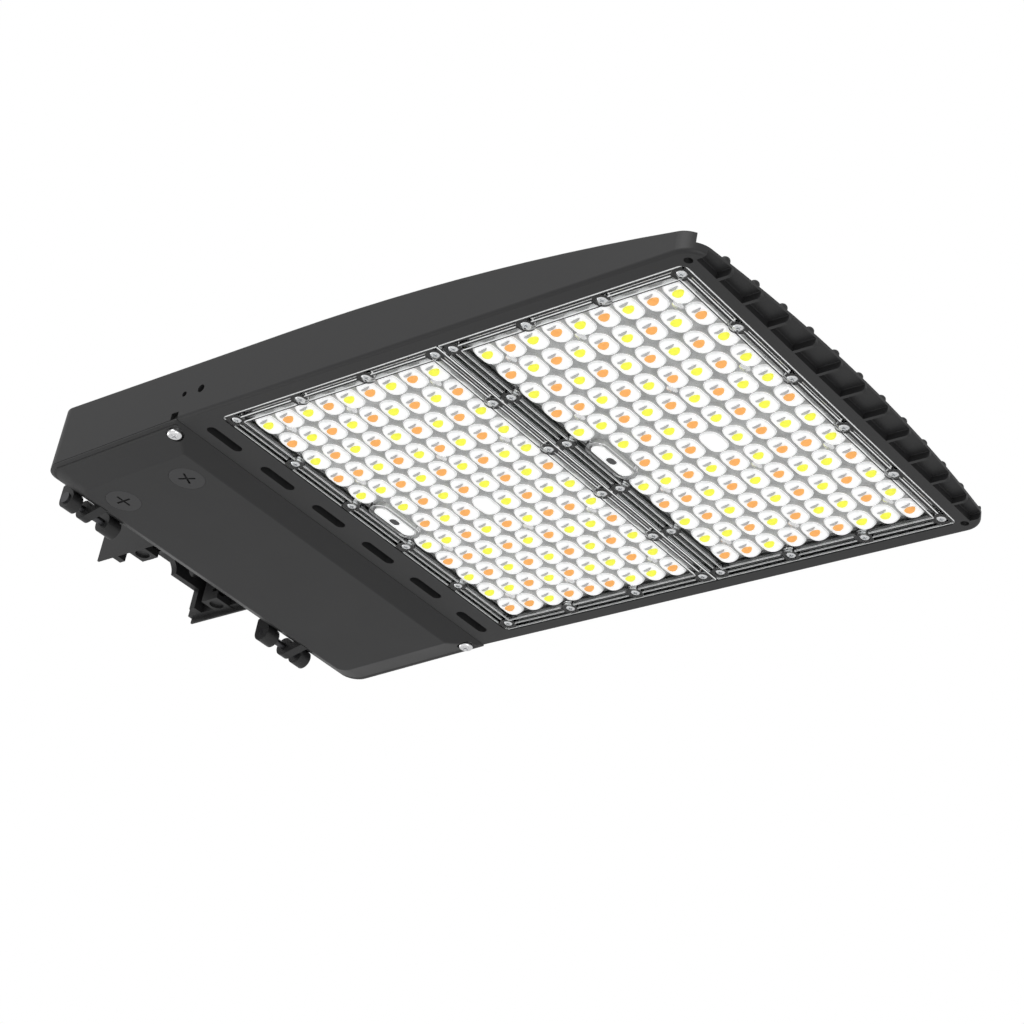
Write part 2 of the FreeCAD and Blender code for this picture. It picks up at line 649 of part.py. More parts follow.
def board_screw_places(module_x):
    """Twelve screws per board, each in the middle of four LEDs."""
    places = []
    for row in (0.5, 3.5, 7.5, 10.5):
        middle = 3.5 if row in (0.5, 10.5) else 4.5
        for column in (0.5, middle, 7.5):
            places.append(led_place(module_x, column, row))
    return places


def base_screw_places():
    y = (DRIVER_NEAR - BASE_TAB / 2, DRIVER_FAR + BASE_TAB / 2)
    x = (DRIVER_X + DRIVER_SCREW_INSET, DRIVER_X + DRIVER_LENGTH_X - DRIVER_SCREW_INSET)
    return [(a, b) for a in x for b in y]


def earth_screw_place():
    return DRIVER_X + DRIVER_LENGTH_X / 2, DRIVER_FAR + TERMINAL_GAP + TERMINAL_WIDTH / 2


def housing():
    body = body_blank()
    recess = rounded_block(RECESS_X, RECESS_FRONT_X, -RECESS_HALF, RECESS_HALF,
                           RIM_Z - WALL, SEAT_Z, MODULE_CORNER + MODULE_CLEARANCE)
    cutters = [compartment(), recess] + fin_gaps() + low_corners() + front_pockets() + vents()
    cutters += side_details()
    channel_end = MODULE_X[1] - (LED_COLUMNS - 1) / 2 * LED_PITCH_X + CONNECTOR_LENGTH / 2
    half = CHANNEL_WIDTH / 2
    cutters.append(block(BAY_FRONT_X - WALL, channel_end, -half, half, SEAT_Z, SEAT_Z + CHANNEL_DEPTH))
    cutters.append(rod(GROMMET_HOLE, BACK_X - CUT, 0, WIRE_ENTRY_Z, CUT + FLANGE + WALL, (1, 0, 0)))
    for y, z in arm_bolt_places():
        cutters.append(rod(ARM_BOLT_RADIUS + SCREW_CLEARANCE, BACK_X - WALL, y, z, FLANGE + WALL * 2,
                           (1, 0, 0)))
    for x, y in door_screw_places():
        hole = rod(DOOR_SCREW_RADIUS + SCREW_HOLE_CLEARANCE, x, y, PART_FRONT_Z - WALL,
                   WALL + DOOR_SCREW_LENGTH)
        cutters.append(tilted(hole))
    for module_x in MODULE_X:
        for x, y in lens_screw_places(module_x):
            cutters.append(rod(LENS_SCREW_RADIUS + SCREW_CLEARANCE, x, y, SEAT_Z - WALL,
                               WALL + LENS_SCREW_BITE + SCREW_CLEARANCE))
        for x, y in board_screw_places(module_x):
            cutters.append(rod(BOARD_SCREW_RADIUS + SCREW_CLEARANCE, x, y, SEAT_Z - WALL,
                               WALL + BOARD_SCREW_BITE + SCREW_CLEARANCE))
    body = body.cut(cutters)
    added = fin_tips()
    for spans in hinge_spans():
        added += [body_knuckle(spans[0]), body_knuckle(spans[2])]
    for x, y in base_screw_places():
        added.append(rod(CEILING_PAD_RADIUS, x, y, BAY_TOP_Z - CEILING_PAD_HEIGHT,
                         CEILING_PAD_HEIGHT + WALL / 2))
    body = body.multiFuse(added)
    drilled = []
    for spans in hinge_spans():
        drilled.append(pin_bore(spans[0][0] - WALL, spans[0][1] + WALL, PIN_RADIUS + RUNNING_FIT))
        drilled.append(pin_bore(spans[2][0] - WALL, spans[2][1] + WALL, PIN_RADIUS + RUNNING_FIT))
    for x, y in base_screw_places():
        drilled.append(rod(DRIVER_SCREW_RADIUS + SCREW_CLEARANCE, x, y, BAY_TOP_Z - WALL, 2 * WALL
                           - CEILING_PAD_HEIGHT / 2))
    x, y = earth_screw_place()
    drilled.append(rod(EARTH_SCREW_RADIUS + SCREW_CLEARANCE, x, y, BAY_TOP_Z - WALL,
                       WALL + EARTH_SCREW_BITE + SCREW_CLEARANCE))
    return body.cut(drilled)


# ---------------------------------------------------------------- the door and what it carries
def round_outline(x0, x1, y, z, rear, front):
    """A flat outline with rounded corners, the same edge order each time."""
    s = math.sqrt(0.5)
    p = [at(x0 + rear, -y, z), at(x1 - front, -y, z), at(x1, -y + front, z), at(x1, y - front, z),
         at(x1 - front, y, z), at(x0 + rear, y, z), at(x0, y - rear, z), at(x0, -y + rear, z)]
    bends = [at(x1 - front + front * s, -y + front - front * s, z),
             at(x1 - front + front * s, y - front + front * s, z),
             at(x0 + rear - rear * s, y - rear + rear * s, z),
             at(x0 + rear - rear * s, -y + rear - rear * s, z)]
    edges = []
    for index in range(4):
        start, stop = p[2 * index], p[2 * index + 1]
        after = p[(2 * index + 2) % 8]
        edges += [Part.makeLine(start, stop), Part.Arc(stop, bends[index], after).toShape()]
    return Part.Wire(edges)


def door_shell():
    """The door's sloping tray, still level, with its flange up."""
    top = PART_FRONT_Z - PARTING_GAP
    edge_z = PART_FRONT_Z - DOOR_EDGE
    flat_z = PART_FRONT_Z - DOOR_DEPTH
    x0, x1 = BACK_X, DOOR_FRONT_X - PARTING_GAP
    band = Part.Face(round_outline(x0, x1, HALF_WIDTH, edge_z, REAR_CORNER, DOOR_FRONT_CORNER))
    band = band.extrude(at(0, 0, top - edge_z))
    slope = Part.makeLoft([
        round_outline(x0, x1, HALF_WIDTH, edge_z, REAR_CORNER, DOOR_FRONT_CORNER),
        round_outline(x0 + DOOR_REAR_SLOPE, x1 - DOOR_FRONT_SLOPE, HALF_WIDTH - DOOR_SIDE_SLOPE,
                      flat_z, DOOR_FLAT_CORNER, DOOR_FRONT_CORNER)], True, True)
    lower = [edge for edge in slope.Edges if edge.BoundBox.ZMax < flat_z + 1e-3]
    slope = slope.makeFillet(DOOR_EDGE_ROUND, lower)
    shell = band.fuse(slope)
    inner_half = HALF_WIDTH - FLANGE_SIDE
    hollow = Part.makeLoft([
        round_outline(BAY_BACK_X, BAY_FRONT_X, inner_half, PART_FRONT_Z, DOOR_FLAT_CORNER,
                      DOOR_FRONT_CORNER),
        round_outline(x0 + DOOR_REAR_SLOPE + DOOR_SKIN, x1 - DOOR_FRONT_SLOPE - DOOR_SKIN,
                      HALF_WIDTH - DOOR_SIDE_SLOPE - DOOR_SKIN, flat_z + DOOR_SKIN,
                      DOOR_FLAT_CORNER, DOOR_FRONT_CORNER)], True, True)
    for x, y in door_screw_places():
        hollow = hollow.cut(rod(SCREW_BOSS_RADIUS, x, y, flat_z, DOOR_DEPTH))
    return shell.cut(hollow)


def plug_places():
    return [(DOOR_FRONT_X - POWER_PLUG_SETBACK, PLUG_Y, POWER_PLUG_TURN),
            (DOOR_FRONT_X - CCT_PLUG_SETBACK, PLUG_Y, 0.0)]


def gasket_solid(height):
    """The door's gasket, standing in a groove of the flange."""
    top = PART_FRONT_Z
    outer, inner = GASKET_INSET, GASKET_INSET + GASKET_WIDTH
    faces = []
    for inset in (outer, inner):
        wire = round_outline(BACK_X + inset, DOOR_FRONT_X - PARTING_GAP - inset, HALF_WIDTH - inset,
                             top - height, REAR_CORNER - inset, DOOR_FRONT_CORNER)
        faces.append(Part.Face(wire).extrude(at(0, 0, height)))
    solid = faces[0].cut(faces[1])
    for x, y in door_screw_places():
        solid = solid.cut(rod(RETAINER_RADIUS + FRAME_CLEARANCE, x, y, top - height, height))
    return solid


def door():
    flat_z = PART_FRONT_Z - DOOR_DEPTH
    seat_z = flat_z + PLUG_HEAD_HEIGHT + PLUG_SEAL_HEIGHT
    shell = door_shell()
    inner_end = flat_z + PLUG_HEAD_HEIGHT + PLUG_BODY_HEIGHT
    bosses = [rod(PLUG_BODY_RADIUS + PLUG_BOSS_WALL, x, y, flat_z + DOOR_SKIN / 2,
                  inner_end - flat_z - DOOR_SKIN / 2) for x, y, _ in plug_places()]
    shell = shell.multiFuse(bosses)
    cutters = []
    for x, y, _ in plug_places():
        cutters.append(rod(PLUG_BODY_RADIUS + RUNNING_FIT, x, y, flat_z - WALL, DOOR_DEPTH + WALL))
        cutters.append(rod(PLUG_HEAD_RADIUS + PLUG_HEAD_GAP, x, y, flat_z - WALL, seat_z - flat_z + WALL))
    seat = PART_FRONT_Z - DOOR_SCREW_SEAT
    top = PART_FRONT_Z - PARTING_GAP
    for x, y in door_screw_places():
        cutters.append(rod(SCREW_RECESS_RADIUS, x, y, seat - DOOR_DEPTH, DOOR_DEPTH))
        cutters.append(rod(DOOR_SCREW_RADIUS + SCREW_HOLE_CLEARANCE, x, y, seat - WALL, 2 * WALL))
        cutters.append(rod(RETAINER_RADIUS + SCREW_CLEARANCE, x, y, top - RETAINER_THICKNESS, WALL))
    cutters.append(gasket_solid(GASKET_GROOVE + PARTING_GAP))
    leaf = tilted(shell.cut(cutters))
    knuckles, bores = [], []
    for spans in hinge_spans():
        y0, y1 = spans[1]
        barrel = rod(KNUCKLE_RADIUS, HINGE_X, y0, HINGE_Z, y1 - y0, (0, 1, 0))
        reach = BACK_X + DOOR_REAR_SLOPE
        low = HINGE_Z - KNUCKLE_RADIUS
        web = slab([(HINGE_X, low), (reach, HINGE_Z - DOOR_WEB_DROP), (reach, HINGE_Z),
                    (BACK_X + DOOR_EDGE, HINGE_Z + DOOR_EDGE), (HINGE_X, HINGE_Z)], y0, y1)
        knuckles += [barrel, web]
        bores.append(pin_bore(y0 - WALL, y1 + WALL, PIN_RADIUS + RUNNING_FIT))
    return leaf.multiFuse(knuckles).cut(bores)


def door_screw(place):
    x, y = place
    seat = PART_FRONT_Z - DOOR_SCREW_SEAT
    return tilted(pan_screw(x, y, seat, DOOR_SCREW_HEAD, DOOR_SCREW_HEAD_HEIGHT, DOOR_SCREW_RADIUS,
                            DOOR_SCREW_LENGTH))


def screw_retainers():
    """Nylon rings that keep the door's screws in the open door."""
    top = PART_FRONT_Z - PARTING_GAP
    rings = []
    for x, y in door_screw_places():
        outer = rod(RETAINER_RADIUS, x, y, top - RETAINER_THICKNESS, RETAINER_THICKNESS)
        inner = rod(DOOR_SCREW_RADIUS + RUNNING_FIT, x, y, top - WALL, 2 * WALL)
        rings.append(tilted(outer.cut(inner)))
    return group(rings)


def plug(place):
    """A round plug with a cross slot, flush with the door."""
    x, y, turn = place
    flat_z = PART_FRONT_Z - DOOR_DEPTH
    head = rod(PLUG_HEAD_RADIUS, x, y, flat_z, PLUG_HEAD_HEIGHT)
    body = rod(PLUG_BODY_RADIUS, x, y, flat_z + PLUG_HEAD_HEIGHT, PLUG_BODY_HEIGHT)
    slot = cross_slot(x, y, flat_z, CROSS_SLOT_LENGTH, CROSS_SLOT_WIDTH, CROSS_SLOT_DEPTH, turn)
    return tilted(head.fuse(body).cut(slot))


def plug_seal(place):
    x, y, _ = place
    z = PART_FRONT_Z - DOOR_DEPTH + PLUG_HEAD_HEIGHT
    outer = rod(PLUG_HEAD_RADIUS - PLUG_SEAL_HEIGHT, x, y, z, PLUG_SEAL_HEIGHT)
    inner = rod(PLUG_BODY_RADIUS + PLUG_SEAL_HEIGHT / 2, x, y, z, PLUG_SEAL_HEIGHT)
    return tilted(outer.cut(inner))


def hinge_pin(spans):
    """A pin through a hinge's three knuckles, with a head at its outer end."""
    outer, _, inner = spans
    if outer[0] < inner[0]:
        start, stop, way = outer[0], inner[1], -1
    else:
        start, stop, way = outer[1], inner[0], 1
    shank = pin_bore(min(start, stop), max(start, stop), PIN_RADIUS)
    head = rod(PIN_HEAD_RADIUS, HINGE_X, start, HINGE_Z, PIN_HEAD_HEIGHT, (0, way, 0))
    return shank.fuse(head)


# ---------------------------------------------------------------- the arm
def mounting_arm():
    """An open-bottomed channel with a bolt plate at the pole and a flange at the body."""
    half = ARM_WIDTH / 2
    end = BACK_X + CUT / 2
    outer = block(-ARM_TIP, end, -half, half, ARM_BOTTOM_Z, ARM_TOP)
    skirt = block(-ARM_TIP, end, -half, half, RIM_Z, ARM_BOTTOM_Z + ARM_SKIRT)
    skirt = skirt.cut(block(-ARM_TIP - CUT, end + CUT, -half + ARM_SKIRT, half - ARM_SKIRT,
                            RIM_Z - CUT, ARM_TOP))
    inner = block(-ARM_TIP - CUT, end + CUT, -half + ARM_WALL, half - ARM_WALL, RIM_Z - CUT,
                  ARM_TOP - ARM_TOP_WALL)
    arm = outer.fuse(skirt).cut(inner)
    plate = block(0, BOLT_PLATE, -half + ARM_SKIRT, half - ARM_SKIRT, ARM_BOTTOM_Z, ARM_TOP - ARM_SKIRT)
    opening = block(-WALL, BOLT_PLATE + WALL, -BOLT_PLATE_OPENING / 2, BOLT_PLATE_OPENING / 2,
                    RIM_Z - CUT, -OPENING_BELOW_BOLTS)
    arch = rod(WIRE_ARCH_RADIUS, -WALL, 0, -OPENING_BELOW_BOLTS, BOLT_PLATE + 2 * WALL, (1, 0, 0))
    holes = [rod(POLE_BOLT_HOLE, -WALL, side * POLE_BOLT_SPACING / 2, 0, BOLT_PLATE + 2 * WALL,
                 (1, 0, 0)) for side in (-1, 1)]
    plate = plate.cut([opening, arch] + holes)
    seat = back_plane(ARM_BOTTOM_Z, ARM_GASKET)
    flange = block(seat - ARM_FLANGE, end, -half + ARM_SKIRT, half - ARM_SKIRT, ARM_BOTTOM_Z,
                   ARM_TOP - ARM_SKIRT)
    flange = flange.cut(rod(GROMMET_HOLE, 0, 0, WIRE_ENTRY_Z, end + CUT, (1, 0, 0)))
    bosses = []
    for side in (-1, 1):
        inner_y, outer_y = side * ARM_BOSS_FACE, side * (half - ARM_SKIRT)
        post = block(ARM_BOSS_START, ARM_BOSS_START + ARM_BOSS, min(inner_y, outer_y),
                     max(inner_y, outer_y), ARM_BOTTOM_Z - ARM_BOSS_DROP, ARM_TOP - ARM_SKIRT)
        hole = rod(ARM_BOSS_HOLE, ARM_BOSS_START + ARM_BOSS / 2, side * (ARM_BOSS_FACE + ARM_BOSS / 2),
                   RIM_Z - CUT, ARM_BOTTOM_Z - ARM_BOSS_DROP + ARM_BOSS_HOLE_DEPTH - RIM_Z + CUT)
        bosses.append(post.cut(hole))
    arm = arm.multiFuse([plate, flange] + bosses).common(behind_back(ARM_GASKET))
    tapped = [rod(ARM_BOLT_RADIUS + RUNNING_FIT, ARM_REACH / 2, y, z, CUT, (1, 0, 0))
              for y, z in arm_bolt_places()]
    return arm.cut(tapped)


def arm_gasket():
    half = ARM_WIDTH / 2 - ARM_GASKET_INSET
    sheet = block(BACK_X - CUT, BACK_X + CUT, -half, half, ARM_BOTTOM_Z + ARM_GASKET_INSET,
                  ARM_TOP - ARM_GASKET_INSET)
    sheet = sheet.common(behind_back(0.0)).cut(behind_back(ARM_GASKET))
    holes = [rod(ARM_BOLT_RADIUS + SCREW_CLEARANCE, 0, y, z, CUT * 2, (1, 0, 0))
             for y, z in arm_bolt_places()]
    holes.append(rod(GROMMET_HOLE, 0, 0, WIRE_ENTRY_Z, CUT * 2, (1, 0, 0)))
    return sheet.cut(holes)


def arm_bolts():
    """Four socket screws from inside the compartment into the arm's flange."""
    bolts = []
    for y, z in arm_bolt_places():
        tip = back_plane(z, ARM_GASKET) - ARM_BOLT_ENGAGEMENT
        shank = rod(ARM_BOLT_RADIUS, tip, y, z, BAY_BACK_X - tip, (1, 0, 0))
        head = rod(ARM_BOLT_HEAD, BAY_BACK_X, y, z, ARM_BOLT_HEAD_HEIGHT, (1, 0, 0))
        key = rod(HEX_KEY, BAY_BACK_X + HEX_KEY, y, z, ARM_BOLT_HEAD_HEIGHT, (1, 0, 0))
        bolts.append(shank.fuse(head).cut(key))
    return group(bolts)


def wire_grommet():
    """A rubber bush through the flange, the gasket and the rear wall."""
    start = back_plane(ARM_BOTTOM_Z, ARM_GASKET) - ARM_FLANGE
    stop = BAY_BACK_X
    bush = rod(GROMMET_HOLE, start, 0, WIRE_ENTRY_Z, stop - start, (1, 0, 0))
    lips = [rod(GROMMET_HOLE + GROMMET_LIP, start - GROMMET_LIP_LENGTH, 0, WIRE_ENTRY_Z,
                GROMMET_LIP_LENGTH, (1, 0, 0)),
            rod(GROMMET_HOLE + GROMMET_LIP, stop, 0, WIRE_ENTRY_Z, GROMMET_LIP_LENGTH, (1, 0, 0))]
    bore = rod(GROMMET_BORE, start - WALL, 0, WIRE_ENTRY_Z, stop - start + 2 * WALL, (1, 0, 0))
    return bush.multiFuse(lips).cut(bore)


# ---------------------------------------------------------------- LED modules
WINDOW_CELLS = [(0, 5), (0, 6)]
BLANK_CELL = (4, 6)
FIRST_IS_COOL = [True, False, True, False, True, True, False, True, False, True, True, False]
STRING_BREAKS = {3: [1], 4: [1, 8], 6: [8], 7: [1, 7], 8: [1, 7], 10: [1, 6], 11: [1, 4, 5, 7]}


def led_colours():
    """Cool and warm LEDs take turns along a row, but a new string repeats the last colour."""
    cool, warm = [], []
    for row in range(LED_ROWS):
        colour = FIRST_IS_COOL[row]
        started = False
        for column in range(LED_COLUMNS):
            if (column, row) in WINDOW_CELLS or (column, row) == BLANK_CELL:
                continue
            if started and column not in STRING_BREAKS.get(row, []):
                colour = not colour
            started = True
            (cool if colour else warm).append((column, row))
    return cool, warm


def led_chips(cells):
    chips = []
    for module_x in MODULE_X:
        for column, row in cells:
            x, y = led_place(module_x, column, row)
            chips.append(block(x - LED_LENGTH / 2, x + LED_LENGTH / 2, y - LED_WIDTH / 2,
                               y + LED_WIDTH / 2, LED_Z, BOARD_Z))
    return group(chips)


def led_board(module_x):
    half_x = MODULE_LENGTH / 2 - LENS_BAND - BOARD_CLEARANCE
    half_y = MODULE_WIDTH / 2 - LENS_BAND - BOARD_CLEARANCE
    board = block(module_x - half_x, module_x + half_x, -half_y, half_y, BOARD_Z, SEAT_Z)
    holes = [rod(BOARD_SCREW_RADIUS + SCREW_CLEARANCE, x, y, BOARD_Z - WALL, 2 * WALL)
             for x, y in board_screw_places(module_x)]
    x, y = window_place(module_x)
    half = CHANNEL_WIDTH / 2
    holes.append(block(x - OUTPUT_LEAD_PITCH, x + OUTPUT_LEAD_PITCH, y - half, y + half,
                       BOARD_Z - WALL, SEAT_Z + WALL))
    return board.cut(holes)


def window_place(module_x):
    """Centre of the long window over a board's connector."""
    (column, low), (_, high) = WINDOW_CELLS
    return led_place(module_x, column, (low + high) / 2)


def board_screws():
    screws = []
    for module_x in MODULE_X:
        for x, y in board_screw_places(module_x):
            head = rod(BOARD_SCREW_HEAD, x, y, BOARD_Z - BOARD_SCREW_HEAD_HEIGHT, BOARD_SCREW_HEAD_HEIGHT)
            shank = rod(BOARD_SCREW_RADIUS, x, y, BOARD_Z, BOARD_THICKNESS + BOARD_SCREW_BITE)
            screws.append(head.fuse(shank))
    return group(screws)


def board_connectors():
    bodies = []
    for module_x in MODULE_X:
        x, y = window_place(module_x)
        half_x, half_y = CONNECTOR_LENGTH / 2, CONNECTOR_WIDTH / 2
        bodies.append(block(x - half_x, x + half_x, y - half_y, y + half_y,
                            BOARD_Z - CONNECTOR_HEIGHT, BOARD_Z))
    return group(bodies)


def lens_gasket(module_x):
    half_x, half_y = MODULE_LENGTH / 2, MODULE_WIDTH / 2
    inner = LENS_BAND
    outer = rounded_block(module_x - half_x, module_x + half_x, -half_y, half_y, LENS_TOP_Z, SEAT_Z,
                          MODULE_CORNER)
    hole = block(module_x - half_x + inner, module_x + half_x - inner, -half_y + inner,
                 half_y - inner, LENS_TOP_Z - WALL, SEAT_Z + WALL)
    holes = [rod(LENS_SCREW_RADIUS + SCREW_CLEARANCE, x, y, LENS_TOP_Z - WALL, 2 * WALL)
             for x, y in lens_screw_places(module_x)]
    return outer.cut([hole] + holes)


def lens_ribs(module_x):
    """Thin upright ribs that run round the lens, between the screws' bosses."""
    ribs = []
    low = LENS_BAND_Z - LENS_RIB_HEIGHT
    for step in range(3):
        inset = LENS_RIB_STEP * step + LENS_RIB / 2
        half_x, half_y = MODULE_LENGTH / 2 - inset, MODULE_WIDTH / 2 - inset
        outer = block(module_x - half_x, module_x + half_x, -half_y, half_y, low, LENS_BAND_Z)
        inner = block(module_x - half_x + LENS_RIB, module_x + half_x - LENS_RIB, -half_y + LENS_RIB,
                      half_y - LENS_RIB, low - WALL, LENS_BAND_Z + WALL)
        ribs.append(outer.cut(inner))
    return ribs


def lens(module_x):
    """A clear lens: a thin plate with a dome over each LED, inside a thick ribbed band."""
    half_x, half_y = MODULE_LENGTH / 2, MODULE_WIDTH / 2
    band = rounded_block(module_x - half_x, module_x + half_x, -half_y, half_y, LENS_BAND_Z,
                         LENS_TOP_Z, MODULE_CORNER)
    inner_x, inner_y = half_x - LENS_BAND, half_y - LENS_BAND
    band = band.cut(block(module_x - inner_x, module_x + inner_x, -inner_y, inner_y,
                          LENS_BAND_Z - WALL, LENS_TOP_Z + WALL))
    plate = block(module_x - inner_x, module_x + inner_x, -inner_y, inner_y, LENS_PLATE_Z,
                  LENS_PLATE_TOP_Z)
    domes = []
    for row in range(LED_ROWS):
        for column in range(LED_COLUMNS):
            if (column, row) not in WINDOW_CELLS:
                x, y = led_place(module_x, column, row)
                domes.append(egg(x, y, LENS_PLATE_Z, DOME_WIDTH, DOME_LENGTH, DOME_HEIGHT))
    for x, y in board_screw_places(module_x):
        domes.append(egg(x, y, LENS_PLATE_Z, BUMP_WIDTH, BUMP_LENGTH, BUMP_HEIGHT))
    x, y = window_place(module_x)
    length = LED_PITCH_Y + DOME_LENGTH
    window = stadium(x, y, DOME_WIDTH, length, LENS_PLATE_Z - WINDOW_HEIGHT, LENS_PLATE_TOP_Z)
    ceiling = block(module_x - half_x, module_x + half_x, -half_y, half_y, LENS_PLATE_TOP_Z,
                    LENS_PLATE_TOP_Z + CUT)
    domed = plate.multiFuse(domes + [window]).cut(ceiling)
    pocket = stadium(x, y, DOME_WIDTH - 2 * WINDOW_POCKET_INSET, length - 2 * WINDOW_POCKET_INSET,
                     LENS_PLATE_Z - WINDOW_HEIGHT + WINDOW_SKIN, LENS_PLATE_TOP_Z + WALL)
    domed = domed.cut(pocket)
    bosses = [rod(LENS_BOSS_RADIUS, px, py, LENS_BAND_Z - LENS_RIB_HEIGHT, LENS_RIB_HEIGHT)
              for px, py in lens_screw_places(module_x)]
    frame = band.multiFuse(lens_ribs(module_x) + bosses)
    seats = []
    for px, py in lens_screw_places(module_x):
        seats.append(rod(LENS_SCREW_RADIUS + SCREW_CLEARANCE, px, py, LENS_BAND_Z - WALL, CUT))
        seats.append(rod(LENS_SCREW_HEAD + SCREW_CLEARANCE, px, py, LENS_BAND_Z - CUT, CUT))
    return domed.fuse(frame).cut(seats)


def lens_screws():
    screws = []
    length = LENS_BAND_THICKNESS + LENS_GASKET + LENS_SCREW_BITE
    for module_x in MODULE_X:
        for x, y in lens_screw_places(module_x):
            screws.append(pan_screw(x, y, LENS_BAND_Z, LENS_SCREW_HEAD, LENS_SCREW_HEAD_HEIGHT,
                                    LENS_SCREW_RADIUS, length))
    return group(screws)


# ---------------------------------------------------------------- power supply and wiring
def driver_case():
    case = block(DRIVER_X, DRIVER_X + DRIVER_LENGTH_X, DRIVER_NEAR, DRIVER_FAR, DRIVER_Z, DRIVER_TOP_Z)
    lengthwise = [edge for edge in case.Edges
                  if edge.BoundBox.YLength > DRIVER_ROUND and edge.BoundBox.ZMax < DRIVER_TOP_Z - 1]
    return case.makeFillet(DRIVER_ROUND, lengthwise)


def driver_base():
    plate = block(DRIVER_X, DRIVER_X + DRIVER_LENGTH_X, DRIVER_NEAR - BASE_TAB,
                  DRIVER_FAR + BASE_TAB, DRIVER_TOP_Z, DRIVER_TOP_Z + BASE_PLATE)
    return plate.cut([rod(DRIVER_SCREW_RADIUS + SCREW_CLEARANCE, x, y, DRIVER_TOP_Z - WALL, 2 * WALL)
                      for x, y in base_screw_places()])


def driver_screws():
    length = BASE_PLATE + CEILING_PAD_HEIGHT + WALL / 2
    return group([pan_screw(x, y, DRIVER_TOP_Z, DRIVER_SCREW_HEAD, DRIVER_SCREW_HEAD_HEIGHT,
                            DRIVER_SCREW_RADIUS, length) for x, y in base_screw_places()])


def selector_socket(place):
    x, y, _ = place
    low = DRIVER_Z - SELECTOR_SOCKET_HEIGHT
    body = rod(SELECTOR_SOCKET_RADIUS, x, y, low, SELECTOR_SOCKET_HEIGHT)
    return body.cut(rod(SELECTOR_KNOB_RADIUS + RUNNING_FIT, x, y, low - WALL,
                        SELECTOR_SOCKET_HEIGHT + WALL - SELECTOR_SOCKET_FLOOR))


def selector_knob(place):
    """A slotted knob, turned with a screwdriver through the door's plug hole."""
    x, y, _ = place
    low = DRIVER_Z - SELECTOR_SOCKET_HEIGHT - SELECTOR_KNOB_PROUD
    top = DRIVER_Z - SELECTOR_SOCKET_FLOOR - RUNNING_FIT
    knob = rod(SELECTOR_KNOB_RADIUS, x, y, low, top - low)
    half = SELECTOR_SLOT_WIDTH / 2
    return knob.cut(block(x - half, x + half, y - SELECTOR_KNOB_RADIUS, y + SELECTOR_KNOB_RADIUS / 2,
                          low - WALL, low + SELECTOR_SLOT_DEPTH))


def terminal_ways():
    start = DRIVER_FAR + TERMINAL_GAP
    step = TERMINAL_WIDTH / TERMINAL_WAYS
    return [start + step * (way + 0.5) for way in range(TERMINAL_WAYS)]


def terminal_block():
    start = DRIVER_FAR + TERMINAL_GAP
    low = BAY_TOP_Z - TERMINAL_HEIGHT
    body = block(LID_X, LID_X + TERMINAL_LENGTH, start, start + TERMINAL_WIDTH, low, BAY_TOP_Z)
    x = LID_X + TERMINAL_LENGTH / 2
    wells = [rod(TERMINAL_SCREW_RADIUS + SCREW_CLEARANCE, x, y, low, TERMINAL_SCREW_HEIGHT * 2)
             for y in terminal_ways()]
    return body.cut(wells)


def terminal_screws():
    low = BAY_TOP_Z - TERMINAL_HEIGHT
    x = LID_X + TERMINAL_LENGTH / 2
    half = SELECTOR_SLOT_WIDTH / 2
    screws = []
    for y in terminal_ways():
        screw = rod(TERMINAL_SCREW_RADIUS, x, y, low + TERMINAL_SCREW_HEIGHT, TERMINAL_SCREW_HEIGHT)
        slot = block(x - CUT, x + CUT, y - half, y + half, low, low + TERMINAL_SCREW_HEIGHT * 3 / 2)
        screws.append(screw.cut(slot))
    return group(screws)


def surge_protector():
    x0 = LID_X + TERMINAL_LENGTH + SURGE_GAP
    start = DRIVER_FAR + TERMINAL_GAP
    return rounded_block(x0, x0 + SURGE_LENGTH, start, start + SURGE_WIDTH, BAY_TOP_Z - SURGE_HEIGHT,
                         BAY_TOP_Z, SURGE_ROUND)


def input_leads():
    """Three leads from the terminal block to the power supply, and two to the surge protector."""
    z = DRIVER_TOP_Z - DRIVER_SCREW_HEAD_HEIGHT - LEAD_BELOW_SCREWS - INPUT_LEAD_RADIUS
    leads = []
    for way in range(TERMINAL_WAYS):
        x = LID_X + TERMINAL_LENGTH * (way + 0.5) / TERMINAL_WAYS
        leads.append(rod(INPUT_LEAD_RADIUS, x, DRIVER_FAR, z, TERMINAL_GAP, (0, 1, 0)))
    for y in terminal_ways()[:2]:
        leads.append(rod(INPUT_LEAD_RADIUS, LID_X + TERMINAL_LENGTH, y, z, SURGE_GAP, (1, 0, 0)))
    return group(leads)


def bent_lead(x0, x1, y):
    """A lead that runs forward in the channel, then turns down into a connector."""
    run = rod(OUTPUT_LEAD_RADIUS, x0, y, LEAD_Z, x1 - LEAD_BEND - x0, (1, 0, 0))
    disc = Part.Face(Part.Wire(Part.makeCircle(OUTPUT_LEAD_RADIUS, at(x1 - LEAD_BEND, y, LEAD_Z),
                                               at(1, 0, 0))))
    bend = disc.revolve(at(x1 - LEAD_BEND, y, LEAD_Z - LEAD_BEND), at(0, 1, 0), 90)
    drop = rod(OUTPUT_LEAD_RADIUS, x1, y, BOARD_Z, LEAD_Z - LEAD_BEND - BOARD_Z)
    return run.multiFuse([bend, drop])


def output_leads():
    """Two leads to each board."""
    start = DRIVER_X + DRIVER_LENGTH_X
    leads = []
    for module_x, outward in zip(MODULE_X, (3, 1)):
        x, y = window_place(module_x)
        for side in (-1, 1):
            leads.append(bent_lead(start, x, y + side * outward * OUTPUT_LEAD_PITCH / 2))
    return group(leads)


